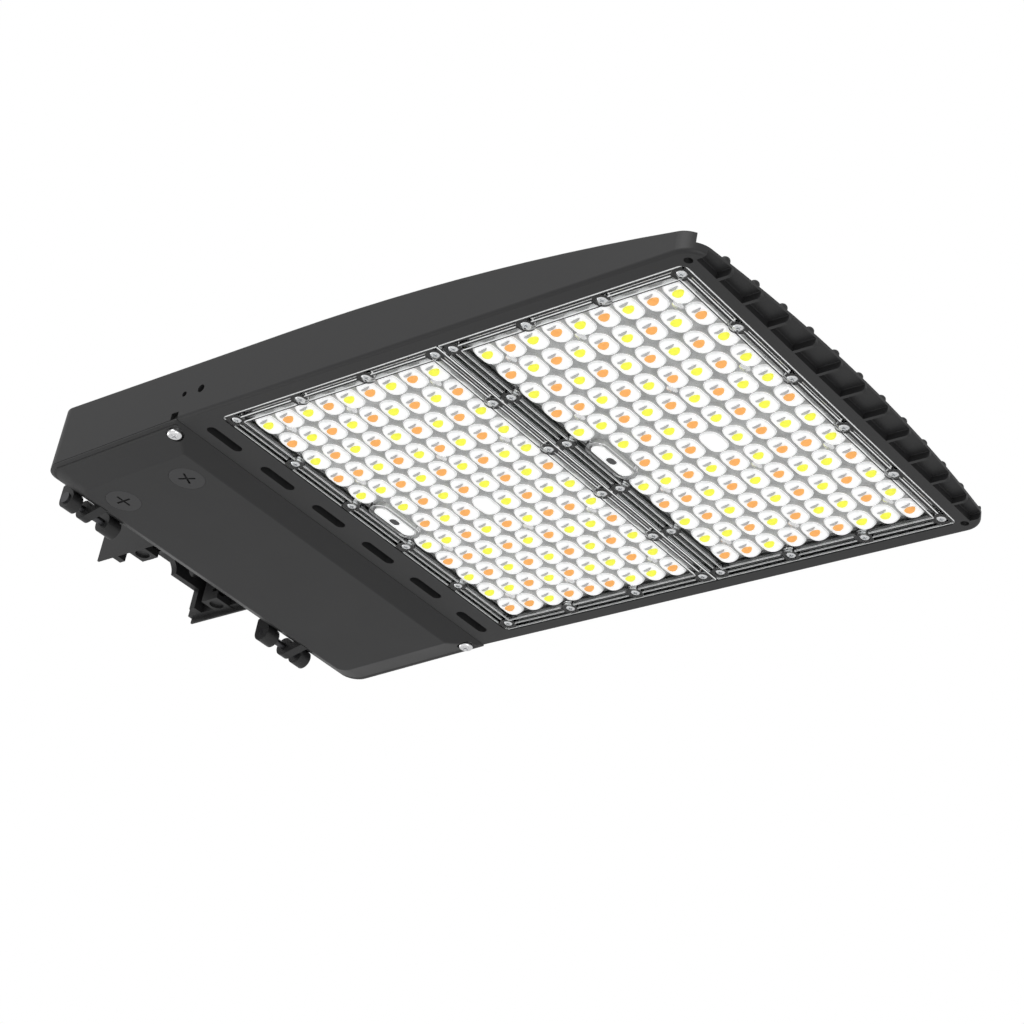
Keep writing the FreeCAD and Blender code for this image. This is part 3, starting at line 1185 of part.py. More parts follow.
def earth_screw():
    x, y = earth_screw_place()
    return pan_screw(x, y, BAY_TOP_Z, EARTH_SCREW_HEAD, EARTH_SCREW_HEAD_HEIGHT, EARTH_SCREW_RADIUS,
                     EARTH_SCREW_BITE)


# ---------------------------------------------------------------- all pieces, one file each
def all_pieces():
    cool, warm = led_colours()
    rear_lens = lens(MODULE_X[0])
    front_lens = rear_lens.copy()
    front_lens.translate(at(MODULE_X[1] - MODULE_X[0], 0, 0))
    near_screw, far_screw = door_screw_places()
    power_place, cct_place = plug_places()
    near_hinge, far_hinge = hinge_spans()
    return {
        "housing": housing(),
        "mounting_arm": mounting_arm(),
        "arm_gasket": arm_gasket(),
        "arm_bolts": arm_bolts(),
        "wire_grommet": wire_grommet(),
        "rear_led_board": led_board(MODULE_X[0]),
        "front_led_board": led_board(MODULE_X[1]),
        "cool_leds": led_chips(cool),
        "warm_leds": led_chips(warm),
        "board_screws": board_screws(),
        "board_connectors": board_connectors(),
        "rear_lens_gasket": lens_gasket(MODULE_X[0]),
        "front_lens_gasket": lens_gasket(MODULE_X[1]),
        "rear_lens": rear_lens,
        "front_lens": front_lens,
        "lens_screws": lens_screws(),
        "driver_case": driver_case(),
        "driver_base": driver_base(),
        "driver_screws": driver_screws(),
        "power_selector_socket": selector_socket(power_place),
        "cct_selector_socket": selector_socket(cct_place),
        "power_selector_knob": selector_knob(power_place),
        "cct_selector_knob": selector_knob(cct_place),
        "terminal_block": terminal_block(),
        "terminal_screws": terminal_screws(),
        "surge_protector": surge_protector(),
        "input_leads": input_leads(),
        "output_leads": output_leads(),
        "earth_screw": earth_screw(),
        "door": door(),
        "door_gasket": tilted(gasket_solid(GASKET_GROOVE + PARTING_GAP)),
        "near_door_screw": door_screw(near_screw),
        "far_door_screw": door_screw(far_screw),
        "screw_retainers": screw_retainers(),
        "power_plug": plug(power_place),
        "power_plug_seal": plug_seal(power_place),
        "cct_plug": plug(cct_place),
        "cct_plug_seal": plug_seal(cct_place),
        "near_hinge_pin": hinge_pin(near_hinge),
        "far_hinge_pin": hinge_pin(far_hinge),
    }


os.makedirs("parts", exist_ok=True)
for name, shape in all_pieces().items():
    shape.exportStep(os.path.join("parts", name + ".step"))
    box = shape.BoundBox
    print(f"{name:24s} solids {len(shape.Solids):4d} valid {shape.isValid()} volume {shape.Volume:12.1f}"
          f"  x {box.XMin:7.2f} {box.XMax:7.2f}  y {box.YMin:7.2f} {box.YMax:7.2f}"
          f"  z {box.ZMin:7.2f} {box.ZMax:7.2f}")
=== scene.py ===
import math

import bmesh
import bpy
from mathutils import Matrix, Vector


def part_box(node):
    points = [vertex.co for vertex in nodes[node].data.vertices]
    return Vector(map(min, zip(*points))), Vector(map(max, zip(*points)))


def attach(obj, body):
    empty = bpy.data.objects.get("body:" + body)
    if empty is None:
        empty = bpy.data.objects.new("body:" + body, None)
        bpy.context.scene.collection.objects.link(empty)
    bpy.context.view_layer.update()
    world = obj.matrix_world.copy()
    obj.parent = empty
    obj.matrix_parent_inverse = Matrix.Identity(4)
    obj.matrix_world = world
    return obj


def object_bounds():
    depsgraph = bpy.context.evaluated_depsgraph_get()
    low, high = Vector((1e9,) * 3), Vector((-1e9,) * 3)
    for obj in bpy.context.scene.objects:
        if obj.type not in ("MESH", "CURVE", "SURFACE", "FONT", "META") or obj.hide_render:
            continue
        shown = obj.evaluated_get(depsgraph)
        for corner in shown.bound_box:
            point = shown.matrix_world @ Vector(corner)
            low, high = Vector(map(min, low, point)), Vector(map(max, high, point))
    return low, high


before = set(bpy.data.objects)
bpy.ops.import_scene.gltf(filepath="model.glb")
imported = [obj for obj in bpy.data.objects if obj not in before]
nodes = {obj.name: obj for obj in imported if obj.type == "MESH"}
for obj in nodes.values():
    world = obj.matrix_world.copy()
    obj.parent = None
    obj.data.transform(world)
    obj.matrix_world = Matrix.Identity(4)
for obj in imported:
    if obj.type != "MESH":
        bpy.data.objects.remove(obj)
cad_low, cad_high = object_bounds()
MM = 0.001


# ------------------------------------------------------------------ the die-cast body
# The body is one aluminium die casting with the driver's compartment at the back, fins on
# top and a flat underside that holds the LED modules. It has a black powder coat, which
# leaves a fine orange-peel skin of about half a millimetre.
def surface_variation():
    """Uneven colour, sheen and skin over a surface, made once and used by most finishes."""
    group = bpy.data.node_groups.new("surface_variation", "ShaderNodeTree")
    face = group.interface
    face.new_socket("Color", in_out="INPUT", socket_type="NodeSocketColor")
    face.new_socket("Color Spread", in_out="INPUT", socket_type="NodeSocketFloat")
    face.new_socket("Patch Scale", in_out="INPUT", socket_type="NodeSocketFloat")
    face.new_socket("Roughness", in_out="INPUT", socket_type="NodeSocketFloat")
    face.new_socket("Roughness Spread", in_out="INPUT", socket_type="NodeSocketFloat")
    face.new_socket("Grain Scale", in_out="INPUT", socket_type="NodeSocketFloat")
    face.new_socket("Color", in_out="OUTPUT", socket_type="NodeSocketColor")
    face.new_socket("Roughness", in_out="OUTPUT", socket_type="NodeSocketFloat")
    face.new_socket("Height", in_out="OUTPUT", socket_type="NodeSocketFloat")
    tree = group.nodes
    entry, leave = tree.new("NodeGroupInput"), tree.new("NodeGroupOutput")
    place = tree.new("ShaderNodeTexCoord")
    patches, grain = tree.new("ShaderNodeTexNoise"), tree.new("ShaderNodeTexNoise")
    patches.inputs["Detail"].default_value = 5.0
    grain.inputs["Detail"].default_value = 2.0
    link = group.links.new
    for noise, scale in ((patches, "Patch Scale"), (grain, "Grain Scale")):
        link(place.outputs["Object"], noise.inputs["Vector"])
        link(entry.outputs[scale], noise.inputs["Scale"])
    centred = tree.new("ShaderNodeMath")
    centred.operation = "SUBTRACT"
    centred.inputs[1].default_value = 0.5
    link(patches.outputs["Fac"], centred.inputs[0])

    def spread(name, base):
        scaled = tree.new("ShaderNodeMath")
        scaled.operation = "MULTIPLY_ADD"
        link(centred.outputs[0], scaled.inputs[0])
        link(entry.outputs[name], scaled.inputs[1])
        if isinstance(base, float):
            scaled.inputs[2].default_value = base
        else:
            link(base, scaled.inputs[2])
        return scaled.outputs[0]

    tint = tree.new("ShaderNodeVectorMath")
    tint.operation = "SCALE"
    link(entry.outputs["Color"], tint.inputs[0])
    link(spread("Color Spread", 1.0), tint.inputs["Scale"])
    link(tint.outputs[0], leave.inputs["Color"])
    link(spread("Roughness Spread", entry.outputs["Roughness"]), leave.inputs["Roughness"])
    link(grain.outputs["Fac"], leave.inputs["Height"])
    return group


variation = surface_variation()


def finish_material(name, colour, colour_spread, patch_scale, roughness, roughness_spread,
                    grain_scale, grain_depth, metallic=0.0, coat=0.0, specular=0.5):
    """A principled material fed by the shared surface variation."""
    material = bpy.data.materials.new(name)
    material.use_nodes = True
    tree, link = material.node_tree.nodes, material.node_tree.links.new
    shader = tree["Principled BSDF"]
    skin = tree.new("ShaderNodeGroup")
    skin.node_tree = variation
    skin.inputs["Color"].default_value = (*colour, 1.0)
    skin.inputs["Color Spread"].default_value = colour_spread
    skin.inputs["Patch Scale"].default_value = patch_scale
    skin.inputs["Roughness"].default_value = roughness
    skin.inputs["Roughness Spread"].default_value = roughness_spread
    skin.inputs["Grain Scale"].default_value = grain_scale
    bump = tree.new("ShaderNodeBump")
    bump.inputs["Distance"].default_value = grain_depth
    bump.inputs["Strength"].default_value = 0.6
    link(skin.outputs["Color"], shader.inputs["Base Color"])
    link(skin.outputs["Roughness"], shader.inputs["Roughness"])
    link(skin.outputs["Height"], bump.inputs["Height"])
    link(bump.outputs["Normal"], shader.inputs["Normal"])
    shader.inputs["Metallic"].default_value = metallic
    shader.inputs["Coat Weight"].default_value = coat
    shader.inputs["Specular IOR Level"].default_value = specular
    return material


def dress(material, *names):
    """Gives CAD nodes their finish."""
    for name in names:
        piece = nodes[name]
        for slot in piece.material_slots:
            slot.material = material


powder_coat = finish_material("black_powder_coat", (0.017, 0.017, 0.0175), 0.22, 26.0, 0.46, 0.12,
                              2200.0, 0.00006, specular=0.36)
dress(powder_coat, "housing")


# ------------------------------------------------------------------ the arm to the pole
# A second casting, an open-bottomed channel with a bolt plate at the pole end. It is
# bolted to the body from inside the compartment over a thin black silicone sheet.
arm_coat = finish_material("arm_powder_coat", (0.017, 0.017, 0.0175), 0.25, 40.0, 0.48, 0.12,
                           2200.0, 0.00006, specular=0.36)
silicone = finish_material("black_silicone", (0.016, 0.016, 0.016), 0.3, 60.0, 0.62, 0.15,
                           1400.0, 0.00004)
zinc = finish_material("zinc_plated_steel", (0.80, 0.81, 0.82), 0.15, 420.0, 0.22, 0.16,
                       5200.0, 0.00002, metallic=1.0)
dress(arm_coat, "mounting_arm")
dress(silicone, "arm_gasket", "wire_grommet")
dress(zinc, "arm_bolts")


# ------------------------------------------------------------------ the LED boards
# Each board is an aluminium-core circuit board, screwed to the casting, with a grey
# coating that is slightly mottled. It carries cool and warm LEDs on a regular grid.
PITCH_X, PITCH_Y = 14.0 * MM, 18.0 * MM
COLUMNS, ROWS = 9, 12
WINDOW_CELLS = ((0, 5), (0, 6))
BLANK_CELL = (4, 6)


def middle_of(node):
    low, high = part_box(node)
    return (Vector(low) + Vector(high)) / 2


BOARDS = ("rear_led_board", "front_led_board")
board_centres = {board: middle_of(board) for board in BOARDS}


def cell_place(board, column, row):
    """Centre of a cell of the LED grid on a board."""
    centre = board_centres[board]
    return (centre.x + (column - (COLUMNS - 1) / 2) * PITCH_X,
            centre.y + (row - (ROWS - 1) / 2) * PITCH_Y)


board_coat = finish_material("board_coating", (0.50, 0.50, 0.50), 1.3, 150.0, 0.38, 0.3,
                             900.0, 0.00003, metallic=0.1)
dress(board_coat, *BOARDS)
nylon = finish_material("white_nylon", (0.82, 0.82, 0.80), 0.06, 90.0, 0.4, 0.1, 1500.0, 0.00002)
dress(zinc, "board_screws")
dress(nylon, "board_connectors")


def flat_material(name, colour, roughness, painted_glow=0.0):
    """A plain even surface, such as phosphor or print, with a little mottling. Its last argument,
    above zero, makes it glow faintly: painted light, not a lamp.
    """
    material = finish_material(name, colour, 0.08, 500.0, roughness, 0.1, 3000.0, 0.00001)
    shader = material.node_tree.nodes["Principled BSDF"]
    # The emission below is painted light: a faint glow standing for brightness.
    shader.inputs["Emission Color"].default_value = (*colour, 1.0)
    shader.inputs["Emission Strength"].default_value = painted_glow
    return material


cool_phosphor = flat_material("cool_phosphor", (0.93, 0.93, 0.06), 0.45)
warm_phosphor = flat_material("warm_phosphor", (0.93, 0.46, 0.11), 0.45)
dress(cool_phosphor, "cool_leds")
dress(warm_phosphor, "warm_leds")


def cells_of(chips):
    """The grid cells, as (board, column, row), in which a node of LED chips has a chip."""
    found = set()
    for corner in nodes[chips].data.vertices:
        place = nodes[chips].matrix_world @ corner.co
        for board, centre in board_centres.items():
            column = round((place.x - centre.x) / PITCH_X + (COLUMNS - 1) / 2)
            row = round((place.y - centre.y) / PITCH_Y + (ROWS - 1) / 2)
            if 0 <= column < COLUMNS:
                found.add((board, column, row))
    return sorted(found)


COOL_CELLS, WARM_CELLS = cells_of("cool_leds"), cells_of("warm_leds")


# ------------------------------------------------------------------ the lenses
# One clear moulding over each board, with an oval dome over every LED, and a ribbed band
# that presses a silicone gasket onto the casting under sixteen screws.
def clear_material(name, tint, roughness):
    material = bpy.data.materials.new(name)
    material.use_nodes = True
    tree, link = material.node_tree.nodes, material.node_tree.links.new
    shader = tree["Principled BSDF"]
    shader.inputs["Base Color"].default_value = (*tint, 1.0)
    shader.inputs["Metallic"].default_value = 0.0
    shader.inputs["Transmission Weight"].default_value = 1.0
    shader.inputs["Roughness"].default_value = roughness
    shader.inputs["IOR"].default_value = 1.49
    return material


clear_lens = clear_material("clear_acrylic", (0.97, 0.98, 0.98), 0.02)
dress(clear_lens, "rear_lens", "front_lens")
band_silicone = finish_material("lens_silicone", (0.060, 0.060, 0.061), 0.5, 220.0, 0.5, 0.15,
                                1400.0, 0.00004)
dress(band_silicone, "rear_lens_gasket", "front_lens_gasket")
dress(zinc, "lens_screws")


def scatter_tree():
    """Puts a template on every point of a mesh, makes it real and gives it a material."""
    tree = bpy.data.node_groups.new("scatter_on_points", "GeometryNodeTree")
    face, node, link = tree.interface, tree.nodes.new, tree.links.new
    face.new_socket("Geometry", in_out="INPUT", socket_type="NodeSocketGeometry")
    face.new_socket("Template", in_out="INPUT", socket_type="NodeSocketObject")
    face.new_socket("Material", in_out="INPUT", socket_type="NodeSocketMaterial")
    face.new_socket("Geometry", in_out="OUTPUT", socket_type="NodeSocketGeometry")
    entry, leave = node("NodeGroupInput"), node("NodeGroupOutput")
    template, spread = node("GeometryNodeObjectInfo"), node("GeometryNodeInstanceOnPoints")
    real, paint = node("GeometryNodeRealizeInstances"), node("GeometryNodeSetMaterial")
    link(entry.outputs["Template"], template.inputs["Object"])
    link(entry.outputs["Geometry"], spread.inputs["Points"])
    link(template.outputs["Geometry"], spread.inputs["Instance"])
    link(spread.outputs["Instances"], real.inputs["Geometry"])
    link(real.outputs["Geometry"], paint.inputs["Geometry"])
    link(entry.outputs["Material"], paint.inputs["Material"])
    link(paint.outputs["Geometry"], leave.inputs["Geometry"])
    return tree


scatter = scatter_tree()


def closed_mesh(name, points, faces):
    mesh = bpy.data.meshes.new(name)
    mesh.from_pydata(points, [], faces)
    shell = bmesh.new()
    shell.from_mesh(mesh)
    bmesh.ops.remove_doubles(shell, verts=shell.verts, dist=0.000001)
    bmesh.ops.recalc_face_normals(shell, faces=shell.faces)
    shell.to_mesh(mesh)
    shell.free()
    return mesh


def scattered(name, material, template, places):
    """One piece of the fixture: the template repeated at every place."""
    points = bpy.data.meshes.new(name + "_points")
    points.from_pydata(places, [], [])
    carrier = bpy.data.objects.new(name + "_points", points)
    pattern = bpy.data.objects.new(name + "_template", template)
    for item in (carrier, pattern):
        bpy.context.collection.objects.link(item)
    modifier = carrier.modifiers.new("scatter", "NODES")
    modifier.node_group = scatter
    sockets = {item.name: item.identifier for item in scatter.interface.items_tree
               if item.in_out == "INPUT"}
    modifier[sockets["Template"]] = pattern
    modifier[sockets["Material"]] = material
    bpy.context.view_layer.update()
    shown = carrier.evaluated_get(bpy.context.evaluated_depsgraph_get())
    mesh = bpy.data.meshes.new_from_object(shown)
    carrier.modifiers.remove(modifier)
    piece = bpy.data.objects.new(name, mesh)
    bpy.context.collection.objects.link(piece)
    for item in (carrier, pattern):
        bpy.data.objects.remove(item)
    mesh.materials.clear()
    mesh.materials.append(material)
    for face in mesh.polygons:
        face.use_smooth = True
        face.material_index = 0
    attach(piece, "fixture")
    return piece


# ------------------------------------------------------------------ the optics in the domes
# Each clear dome magnifies the LED and the white round it, so it looks filled with white
# around a coloured oval. Cup, shade and oval are modelled just under the dome's clear skin,
# with the oval a little to the near side and forward, as a low near viewpoint shows it.
# The shade is painted shade, a grey crescent on the near side of each oval, and cup, shade
# and ovals glow faintly as painted light for their brightness.
DOME_HALF_WIDTH, DOME_REACH, DOME_HEIGHT, CUP_SKIN = 6.2 * MM, 2.4 * MM, 3.8 * MM, 0.35 * MM
dome_radius = (DOME_HALF_WIDTH ** 2 + DOME_HEIGHT ** 2) / (2 * DOME_HEIGHT)
dome_axis = dome_radius - DOME_HEIGHT
LENS_PLATE_BELOW_BOARD = 3.2 * MM
plate_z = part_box("rear_led_board")[0][2] - LENS_PLATE_BELOW_BOARD


def cup_template(name, radius, rings, around, reach):
    """A closed cap of a long dome, hanging from height 0."""
    points, faces = [], []
    start = math.asin(dome_axis / radius)
    for ring in range(rings):
        angle = start + (math.pi / 2 - start) * ring / rings
        half_width, depth = radius * math.cos(angle), radius * math.sin(angle) - dome_axis
        for step in range(around):
            turn = 2 * math.pi * (step + 0.5) / around
            side = reach if math.sin(turn) > 0 else -reach
            points.append((half_width * math.cos(turn), half_width * math.sin(turn) + side, -depth))
    low, high = len(points), len(points) + 1
    points += [(0, -reach, dome_axis - radius), (0, reach, dome_axis - radius)]
    faces.append(list(range(around)))
    for ring in range(rings - 1):
        for step in range(around):
            after = (step + 1) % around
            faces.append((ring * around + step, ring * around + after, (ring + 1) * around + after,
                          (ring + 1) * around + step))
    last = (rings - 1) * around
    for step in range(around):
        after = (step + 1) % around
        pole = high if step < around / 2 else low
        other = high if after < around / 2 else low
        corners = (last + step, last + after, other)
        faces.append(corners if pole == other else (*corners, pole))
    return closed_mesh(name, points, faces)


def spot_template(name, half_x, half_y, place_x, place_y, outer, inner, around=12):
    """An oval patch that follows the round of the dome between two radii."""
    def depth(radius, x, y):
        past = max(abs(y) - DOME_REACH, 0.0)
        return dome_axis - math.sqrt(radius ** 2 - x ** 2 - past ** 2)

    points = [(place_x, place_y, depth(outer, place_x, place_y))]
    for share in (0.55, 1.0):
        for step in range(around):
            turn = 2 * math.pi * step / around
            x = place_x + share * half_x * math.cos(turn)
            y = place_y + share * half_y * math.sin(turn)
            points.append((x, y, depth(outer, x, y)))
    for step in range(around):
        x, y, _ = points[1 + around + step]
        points.append((x, y, depth(inner, x, y)))
    faces = [tuple(range(1 + 2 * around, 1 + 3 * around))]
    for step in range(around):
        after = (step + 1) % around
        faces.append((0, 1 + step, 1 + after))
        for ring in (0, 1):
            near, far = 1 + ring * around, 1 + (ring + 1) * around
            faces.append((near + step, far + step, far + after, near + after))
    return closed_mesh(name, points, faces)


def under(cells):
    places = []
    for board, column, row in cells:
        x, y = cell_place(board, column, row)
        places.append((x, y, plate_z))
    return places


# Painted light: this white glows faintly to stand for its brightness; the window liners use it too.
white_with_painted_glow = flat_material("white_reflector_painted_glow", (0.88, 0.88, 0.88), 0.35, 0.55)
# Painted shade: a grey crescent on the cup by each oval, itself glowing a little.
painted_shade_grey = flat_material("painted_reflector_shade", (0.62, 0.62, 0.63), 0.4, 0.12)
# Painted light: the coloured ovals glow faintly, though no LED is lit as a lamp.
cool_oval = flat_material("cool_oval", (0.93, 0.93, 0.06), 0.35, 0.42)
warm_oval = flat_material("warm_oval", (0.93, 0.46, 0.11), 0.35, 0.42)
cup_radius = dome_radius - CUP_SKIN
blank_cells = [(board, *BLANK_CELL) for board in BOARDS]
lit_cells = COOL_CELLS + WARM_CELLS
scattered("reflector_cups", white_with_painted_glow,
          cup_template("cup", cup_radius, 4, 16, DOME_REACH), under(lit_cells + blank_cells))
# The shade patch is painted shade, a thin grey crescent on the near side of the oval.
SHADE_HALF, SHADE_PLACE, SHADE_PROUD = (2.6 * MM, 0.7 * MM), (1.0 * MM, -5.0 * MM), 0.06 * MM
OVAL_HALF, OVAL_PLACE, OVAL_PROUD = (2.8 * MM, 2.5 * MM), (1.4 * MM, -1.7 * MM), 0.14 * MM
SUNK_IN_CUP = 0.2 * MM
for name, slot, material, half_sizes, place, proud, cells in (
        ("cup_shades", "driver_paint", painted_shade_grey, SHADE_HALF, SHADE_PLACE, SHADE_PROUD, lit_cells),
        ("cool_ovals", "led_phosphor_cool", cool_oval, OVAL_HALF, OVAL_PLACE, OVAL_PROUD, COOL_CELLS),
        ("warm_ovals", "led_phosphor_warm", warm_oval, OVAL_HALF, OVAL_PLACE, OVAL_PROUD, WARM_CELLS)):
    patch = spot_template(name + "_patch", *half_sizes, *place, cup_radius + proud,
                          cup_radius - SUNK_IN_CUP)
    scattered(name, material, patch, under(cells))


# ------------------------------------------------------------------ the windows' diffusers
# The long window over each board's connector is moulded white inside, with a dark oval of
# painted shade where the connector's shaded mouth shows through. Both are modelled inside the
# window's skin, and the white glows faintly as painted light.
def drum(name, half_x, reach, low, high, around=24):
    """An upright closed plate with round ends, built round the origin."""
    points = []
    for z in (low, high):
        for step in range(around):
            turn = 2 * math.pi * (step + 0.5) / around
            side = reach if math.sin(turn) > 0 else -reach
            points.append((half_x * math.cos(turn), half_x * math.sin(turn) + side, z))
    faces = [tuple(range(around)), tuple(range(around, 2 * around))]
    for step in range(around):
        after = (step + 1) % around
        faces.append((step, after, around + after, around + step))
    return closed_mesh(name, points, faces)


window_cells = [(board, WINDOW_CELLS[0][0], sum(row for _, row in WINDOW_CELLS) / len(WINDOW_CELLS))
                for board in BOARDS]
# Painted shade: a dark oval put where the connector's mouth lies in shade under the window.
window_mouth_painted_shade = flat_material("window_opening", (0.05, 0.05, 0.052), 0.5)
LINER_HALF, LINER_REACH, LINER_LEVELS = 3.9 * MM, 10.6 * MM, (-2.2 * MM, -1.9 * MM)
OPENING_HALF, OPENING_REACH, OPENING_LEVELS = 2.1 * MM, 1.0 * MM, (-2.4 * MM, -2.3 * MM)
# Liners take the faintly glowing white, painted light; openings take the painted shade.
for name, slot, material, template in (
        ("window_liners", "white_nylon", white_with_painted_glow,
         drum("liner", LINER_HALF, LINER_REACH, *LINER_LEVELS)),
        ("window_openings", "black_plastic", window_mouth_painted_shade,
         drum("opening", OPENING_HALF, OPENING_REACH, *OPENING_LEVELS))):
    for face in scattered(name, material, template, under(window_cells)).data.polygons:
        face.use_smooth = False


# ------------------------------------------------------------------ painted highlights on the ribs' crests
# Three ribs run round each lens. The light their polished crests catch is painted on as thin
# bright strips that glow faintly, painted highlights broken where the screws' bosses
# interrupt the middle rib.
CREST_WIDTH, CREST_HEIGHT, CREST_SKIN = 0.34 * MM, 0.5 * MM, 0.1 * MM
RIB_INSETS, SCREW_CLEAR = (0.45 * MM, 4.35 * MM, 8.25 * MM), 3.3 * MM
ONE_SCREW = 4 * MM            # corners closer than this belong to the same screw


def screw_centres():
    """Centres of the lens screws, from the corners of their solids."""
    centres = []
    for corner in nodes["lens_screws"].data.vertices:
        x, y = corner.co.x, corner.co.y
        for first_x, first_y, spots in centres:
            if abs(first_x - x) < ONE_SCREW and abs(first_y - y) < ONE_SCREW:
                spots.append((x, y))
                break
        else:
            centres.append((x, y, [(x, y)]))
    return [((min(x for x, _ in spots) + max(x for x, _ in spots)) / 2,
             (min(y for _, y in spots) + max(y for _, y in spots)) / 2) for _, _, spots in centres]


def crest_runs(start, end, line, along, centres):
    """Stretches of one straight crest, left open where a screw stands in its way."""
    across = 1 - along
    blocks = sorted(place[along] for place in centres
                    if abs(place[across] - line) < SCREW_CLEAR - CREST_WIDTH)
    runs, here = [], start
    for place in blocks:
        if start < place < end:
            runs.append((here, place - SCREW_CLEAR))
            here = place + SCREW_CLEAR
    runs.append((here, end))
    return [(low, high) for low, high in runs if high - low > CREST_WIDTH]


BOX_FACES = ((0, 1, 2, 3), (4, 5, 6, 7), (0, 1, 5, 4), (1, 2, 6, 5), (2, 3, 7, 6), (3, 0, 4, 7))
crest_points, crest_faces = [], []
screws = screw_centres()
for lens in ("rear_lens", "front_lens"):
    low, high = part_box(lens)
    band_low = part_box("lens_screws")[0].z
    for inset in RIB_INSETS:
        left, right, near, far = low.x + inset, high.x - inset, low.y + inset, high.y - inset
        for along, start, end, line in ((0, left, right, near), (0, left, right, far),
                                        (1, near, far, left), (1, near, far, right)):
            shrink = CREST_WIDTH if along else 0.0
            for run_start, run_end in crest_runs(start + shrink, end - shrink, line, along, screws):
                first = len(crest_points)
                for z in (band_low + CREST_SKIN, band_low + CREST_HEIGHT):
                    for a, b in ((run_start, -1), (run_end, -1), (run_end, 1), (run_start, 1)):
                        side = line + b * CREST_WIDTH / 2
                        crest_points.append((a, side, z) if along == 0 else (side, a, z))
                crest_faces += [tuple(first + corner for corner in face) for face in BOX_FACES]
crest_mesh = closed_mesh("rib_crests", crest_points, crest_faces)
# Painted highlight: pale strips that glow faintly along each rib's crest.
crest_painted_highlight = flat_material("crest_painted_highlight", (0.85, 0.86, 0.86), 0.25, 0.35)
crest_mesh.materials.append(crest_painted_highlight)
rib_highlights = bpy.data.objects.new("rib_crests", crest_mesh)
bpy.context.collection.objects.link(rib_highlights)
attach(rib_highlights, "fixture")


# ------------------------------------------------------------------ the power supply and wiring
# A potted driver on a base plate hangs from the compartment's ceiling with a surge
# protector and a terminal block beside it. All of it is behind the door.
driver_paint = finish_material("driver_paint", (0.72, 0.72, 0.71), 0.1, 60.0, 0.42, 0.12,
                               1800.0, 0.00003)
black_plastic = finish_material("black_plastic", (0.022, 0.022, 0.023), 0.25, 70.0, 0.5, 0.14,
                                1500.0, 0.00004)
red_insulation = finish_material("red_insulation", (0.52, 0.035, 0.03), 0.1, 120.0, 0.38, 0.1,
                                 1500.0, 0.00002)
green_screw = finish_material("green_plated_screw", (0.03, 0.28, 0.08), 0.15, 300.0, 0.35, 0.15,
                              4000.0, 0.00002, metallic=0.6)
dress(driver_paint, "driver_case", "driver_base")
dress(zinc, "driver_screws", "terminal_screws")
dress(black_plastic, "power_selector_socket", "cct_selector_socket", "terminal_block",
      "surge_protector")
dress(nylon, "power_selector_knob", "cct_selector_knob")
dress(red_insulation, "input_leads", "output_leads")
dress(green_screw, "earth_screw")


# ------------------------------------------------------------------ the door
# A shallow cast tray on two hinges, with a silicone gasket in its flange and two captive
# steel screws. Two plugs in it cover the driver's selectors.
door_coat = finish_material("door_powder_coat", (0.016, 0.016, 0.0165), 0.22, 30.0, 0.47, 0.12,
                            2200.0, 0.00006, specular=0.36)
plug_plastic = finish_material("plug_plastic", (0.022, 0.022, 0.023), 0.2, 90.0, 0.5, 0.12,
                               1800.0, 0.00005)
bright_steel = finish_material("bright_steel", (0.86, 0.86, 0.87), 0.12, 500.0, 0.2, 0.14,
                               5200.0, 0.00002, metallic=1.0)
dress(door_coat, "door")
dress(silicone, "door_gasket", "power_plug_seal", "cct_plug_seal")
dress(nylon, "screw_retainers")
dress(bright_steel, "near_door_screw", "far_door_screw")
dress(plug_plastic, "power_plug", "cct_plug")
dark_steel = finish_material("blackened_steel", (0.09, 0.09, 0.095), 0.2, 300.0, 0.38, 0.15,
                             4000.0, 0.00003, metallic=1.0)
dress(dark_steel, "near_hinge_pin", "far_hinge_pin")


# ------------------------------------------------------------------ the room
# A plain pale floor far below the light, a white surround and soft studio lamps.
def soft_lamp(name, place, aim, size, power):
    lamp = bpy.data.lights.new(name, "AREA")
    lamp.shape = "SQUARE"
    lamp.size = size
    lamp.energy = power
    holder = bpy.data.objects.new(name, lamp)
    holder.location = place
    holder.rotation_euler = (Vector(aim) - Vector(place)).to_track_quat("-Z", "Y").to_euler()
    bpy.context.collection.objects.link(holder)


centre = (Vector(cad_low) + Vector(cad_high)) / 2
FLOOR_DROP, FLOOR_SIZE = 1.3, 12.0
half = FLOOR_SIZE / 2
floor_mesh = bpy.data.meshes.new("floor")
floor_mesh.from_pydata([(-half, -half, -FLOOR_DROP), (half, -half, -FLOOR_DROP),
                        (half, half, -FLOOR_DROP), (-half, half, -FLOOR_DROP)], [], [(0, 1, 2, 3)])
floor = bpy.data.objects.new("floor", floor_mesh)
bpy.context.collection.objects.link(floor)
floor_paint = bpy.data.materials.new("pale_floor")
floor_paint.use_nodes = True
floor_shader = floor_paint.node_tree.nodes["Principled BSDF"]
floor_shader.inputs["Base Color"].default_value = (0.82, 0.82, 0.82, 1)
floor_shader.inputs["Roughness"].default_value = 0.9
floor_mesh.materials.append(floor_paint)

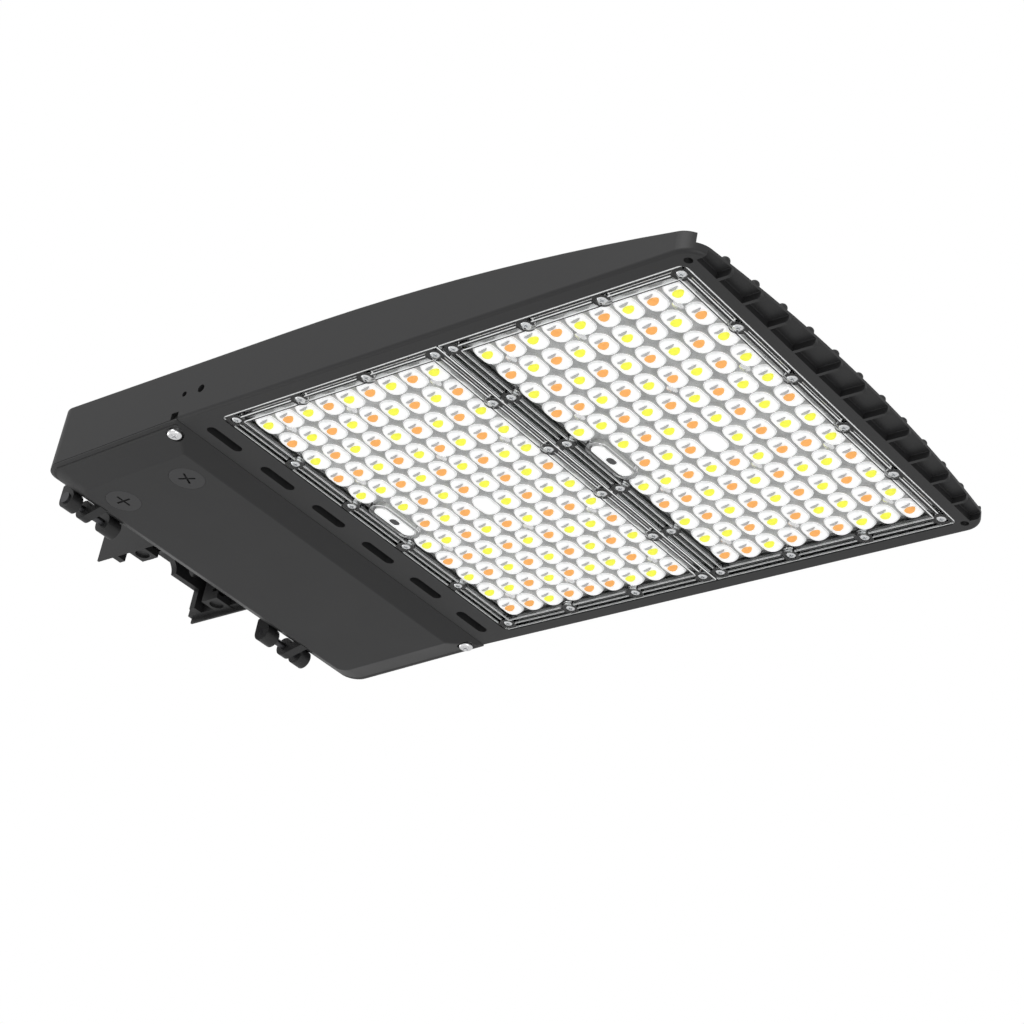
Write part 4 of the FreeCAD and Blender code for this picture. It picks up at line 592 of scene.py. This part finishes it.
world = bpy.data.worlds.new("white_surround")
bpy.context.scene.world = world
world.use_nodes = True
sky, sky_link = world.node_tree.nodes, world.node_tree.links.new
sky.clear()
seen, even = sky.new("ShaderNodeBackground"), sky.new("ShaderNodeBackground")
seen.inputs["Color"].default_value = (1, 1, 1, 1)
even.inputs["Color"].default_value = (1, 1, 1, 1)
even.inputs["Strength"].default_value = 0.75
ray, choose = sky.new("ShaderNodeLightPath"), sky.new("ShaderNodeMixShader")
out = sky.new("ShaderNodeOutputWorld")
sky_link(ray.outputs["Is Camera Ray"], choose.inputs["Fac"])
sky_link(even.outputs[0], choose.inputs[1])
sky_link(seen.outputs[0], choose.inputs[2])
sky_link(choose.outputs[0], out.inputs["Surface"])

soft_lamp("key_lamp", (centre.x + 0.2, -1.6, 0.9), centre, 1.4, 16.0)
soft_lamp("under_lamp", (1.5, -0.5, -1.1), centre, 1.2, 9.0)
soft_lamp("rear_lamp", (-1.3, -0.3, -0.5), centre, 1.0, 5.0)


# ------------------------------------------------------------------ the camera
# Below and in front of the light, on its near side, tilted a little as in the photograph.
LENS_LENGTH, SENSOR = 92.3, 36.0
camera_data = bpy.data.cameras.new("camera")
camera_data.lens = LENS_LENGTH
camera_data.sensor_width = SENSOR
camera_data.sensor_fit = "HORIZONTAL"
camera_data.clip_start, camera_data.clip_end = 0.01, 50.0
camera = bpy.data.objects.new("camera", camera_data)
CAMERA_PLACE = (1.0779, -0.8231, -0.7141)
CAMERA_RIGHT = Vector((0.7688, 0.6176, 0.1659)).normalized()
CAMERA_BACK = Vector((0.6039, -0.6157, -0.5062)).normalized()
camera_up = CAMERA_BACK.cross(CAMERA_RIGHT).normalized()
CAMERA_RIGHT = camera_up.cross(CAMERA_BACK).normalized()
turn = Matrix((CAMERA_RIGHT, camera_up, CAMERA_BACK)).transposed()
camera.matrix_world = Matrix.Translation(CAMERA_PLACE) @ turn.to_4x4()
bpy.context.collection.objects.link(camera)
bpy.context.scene.camera = camera
bpy.context.scene.view_settings.view_transform = "Standard"
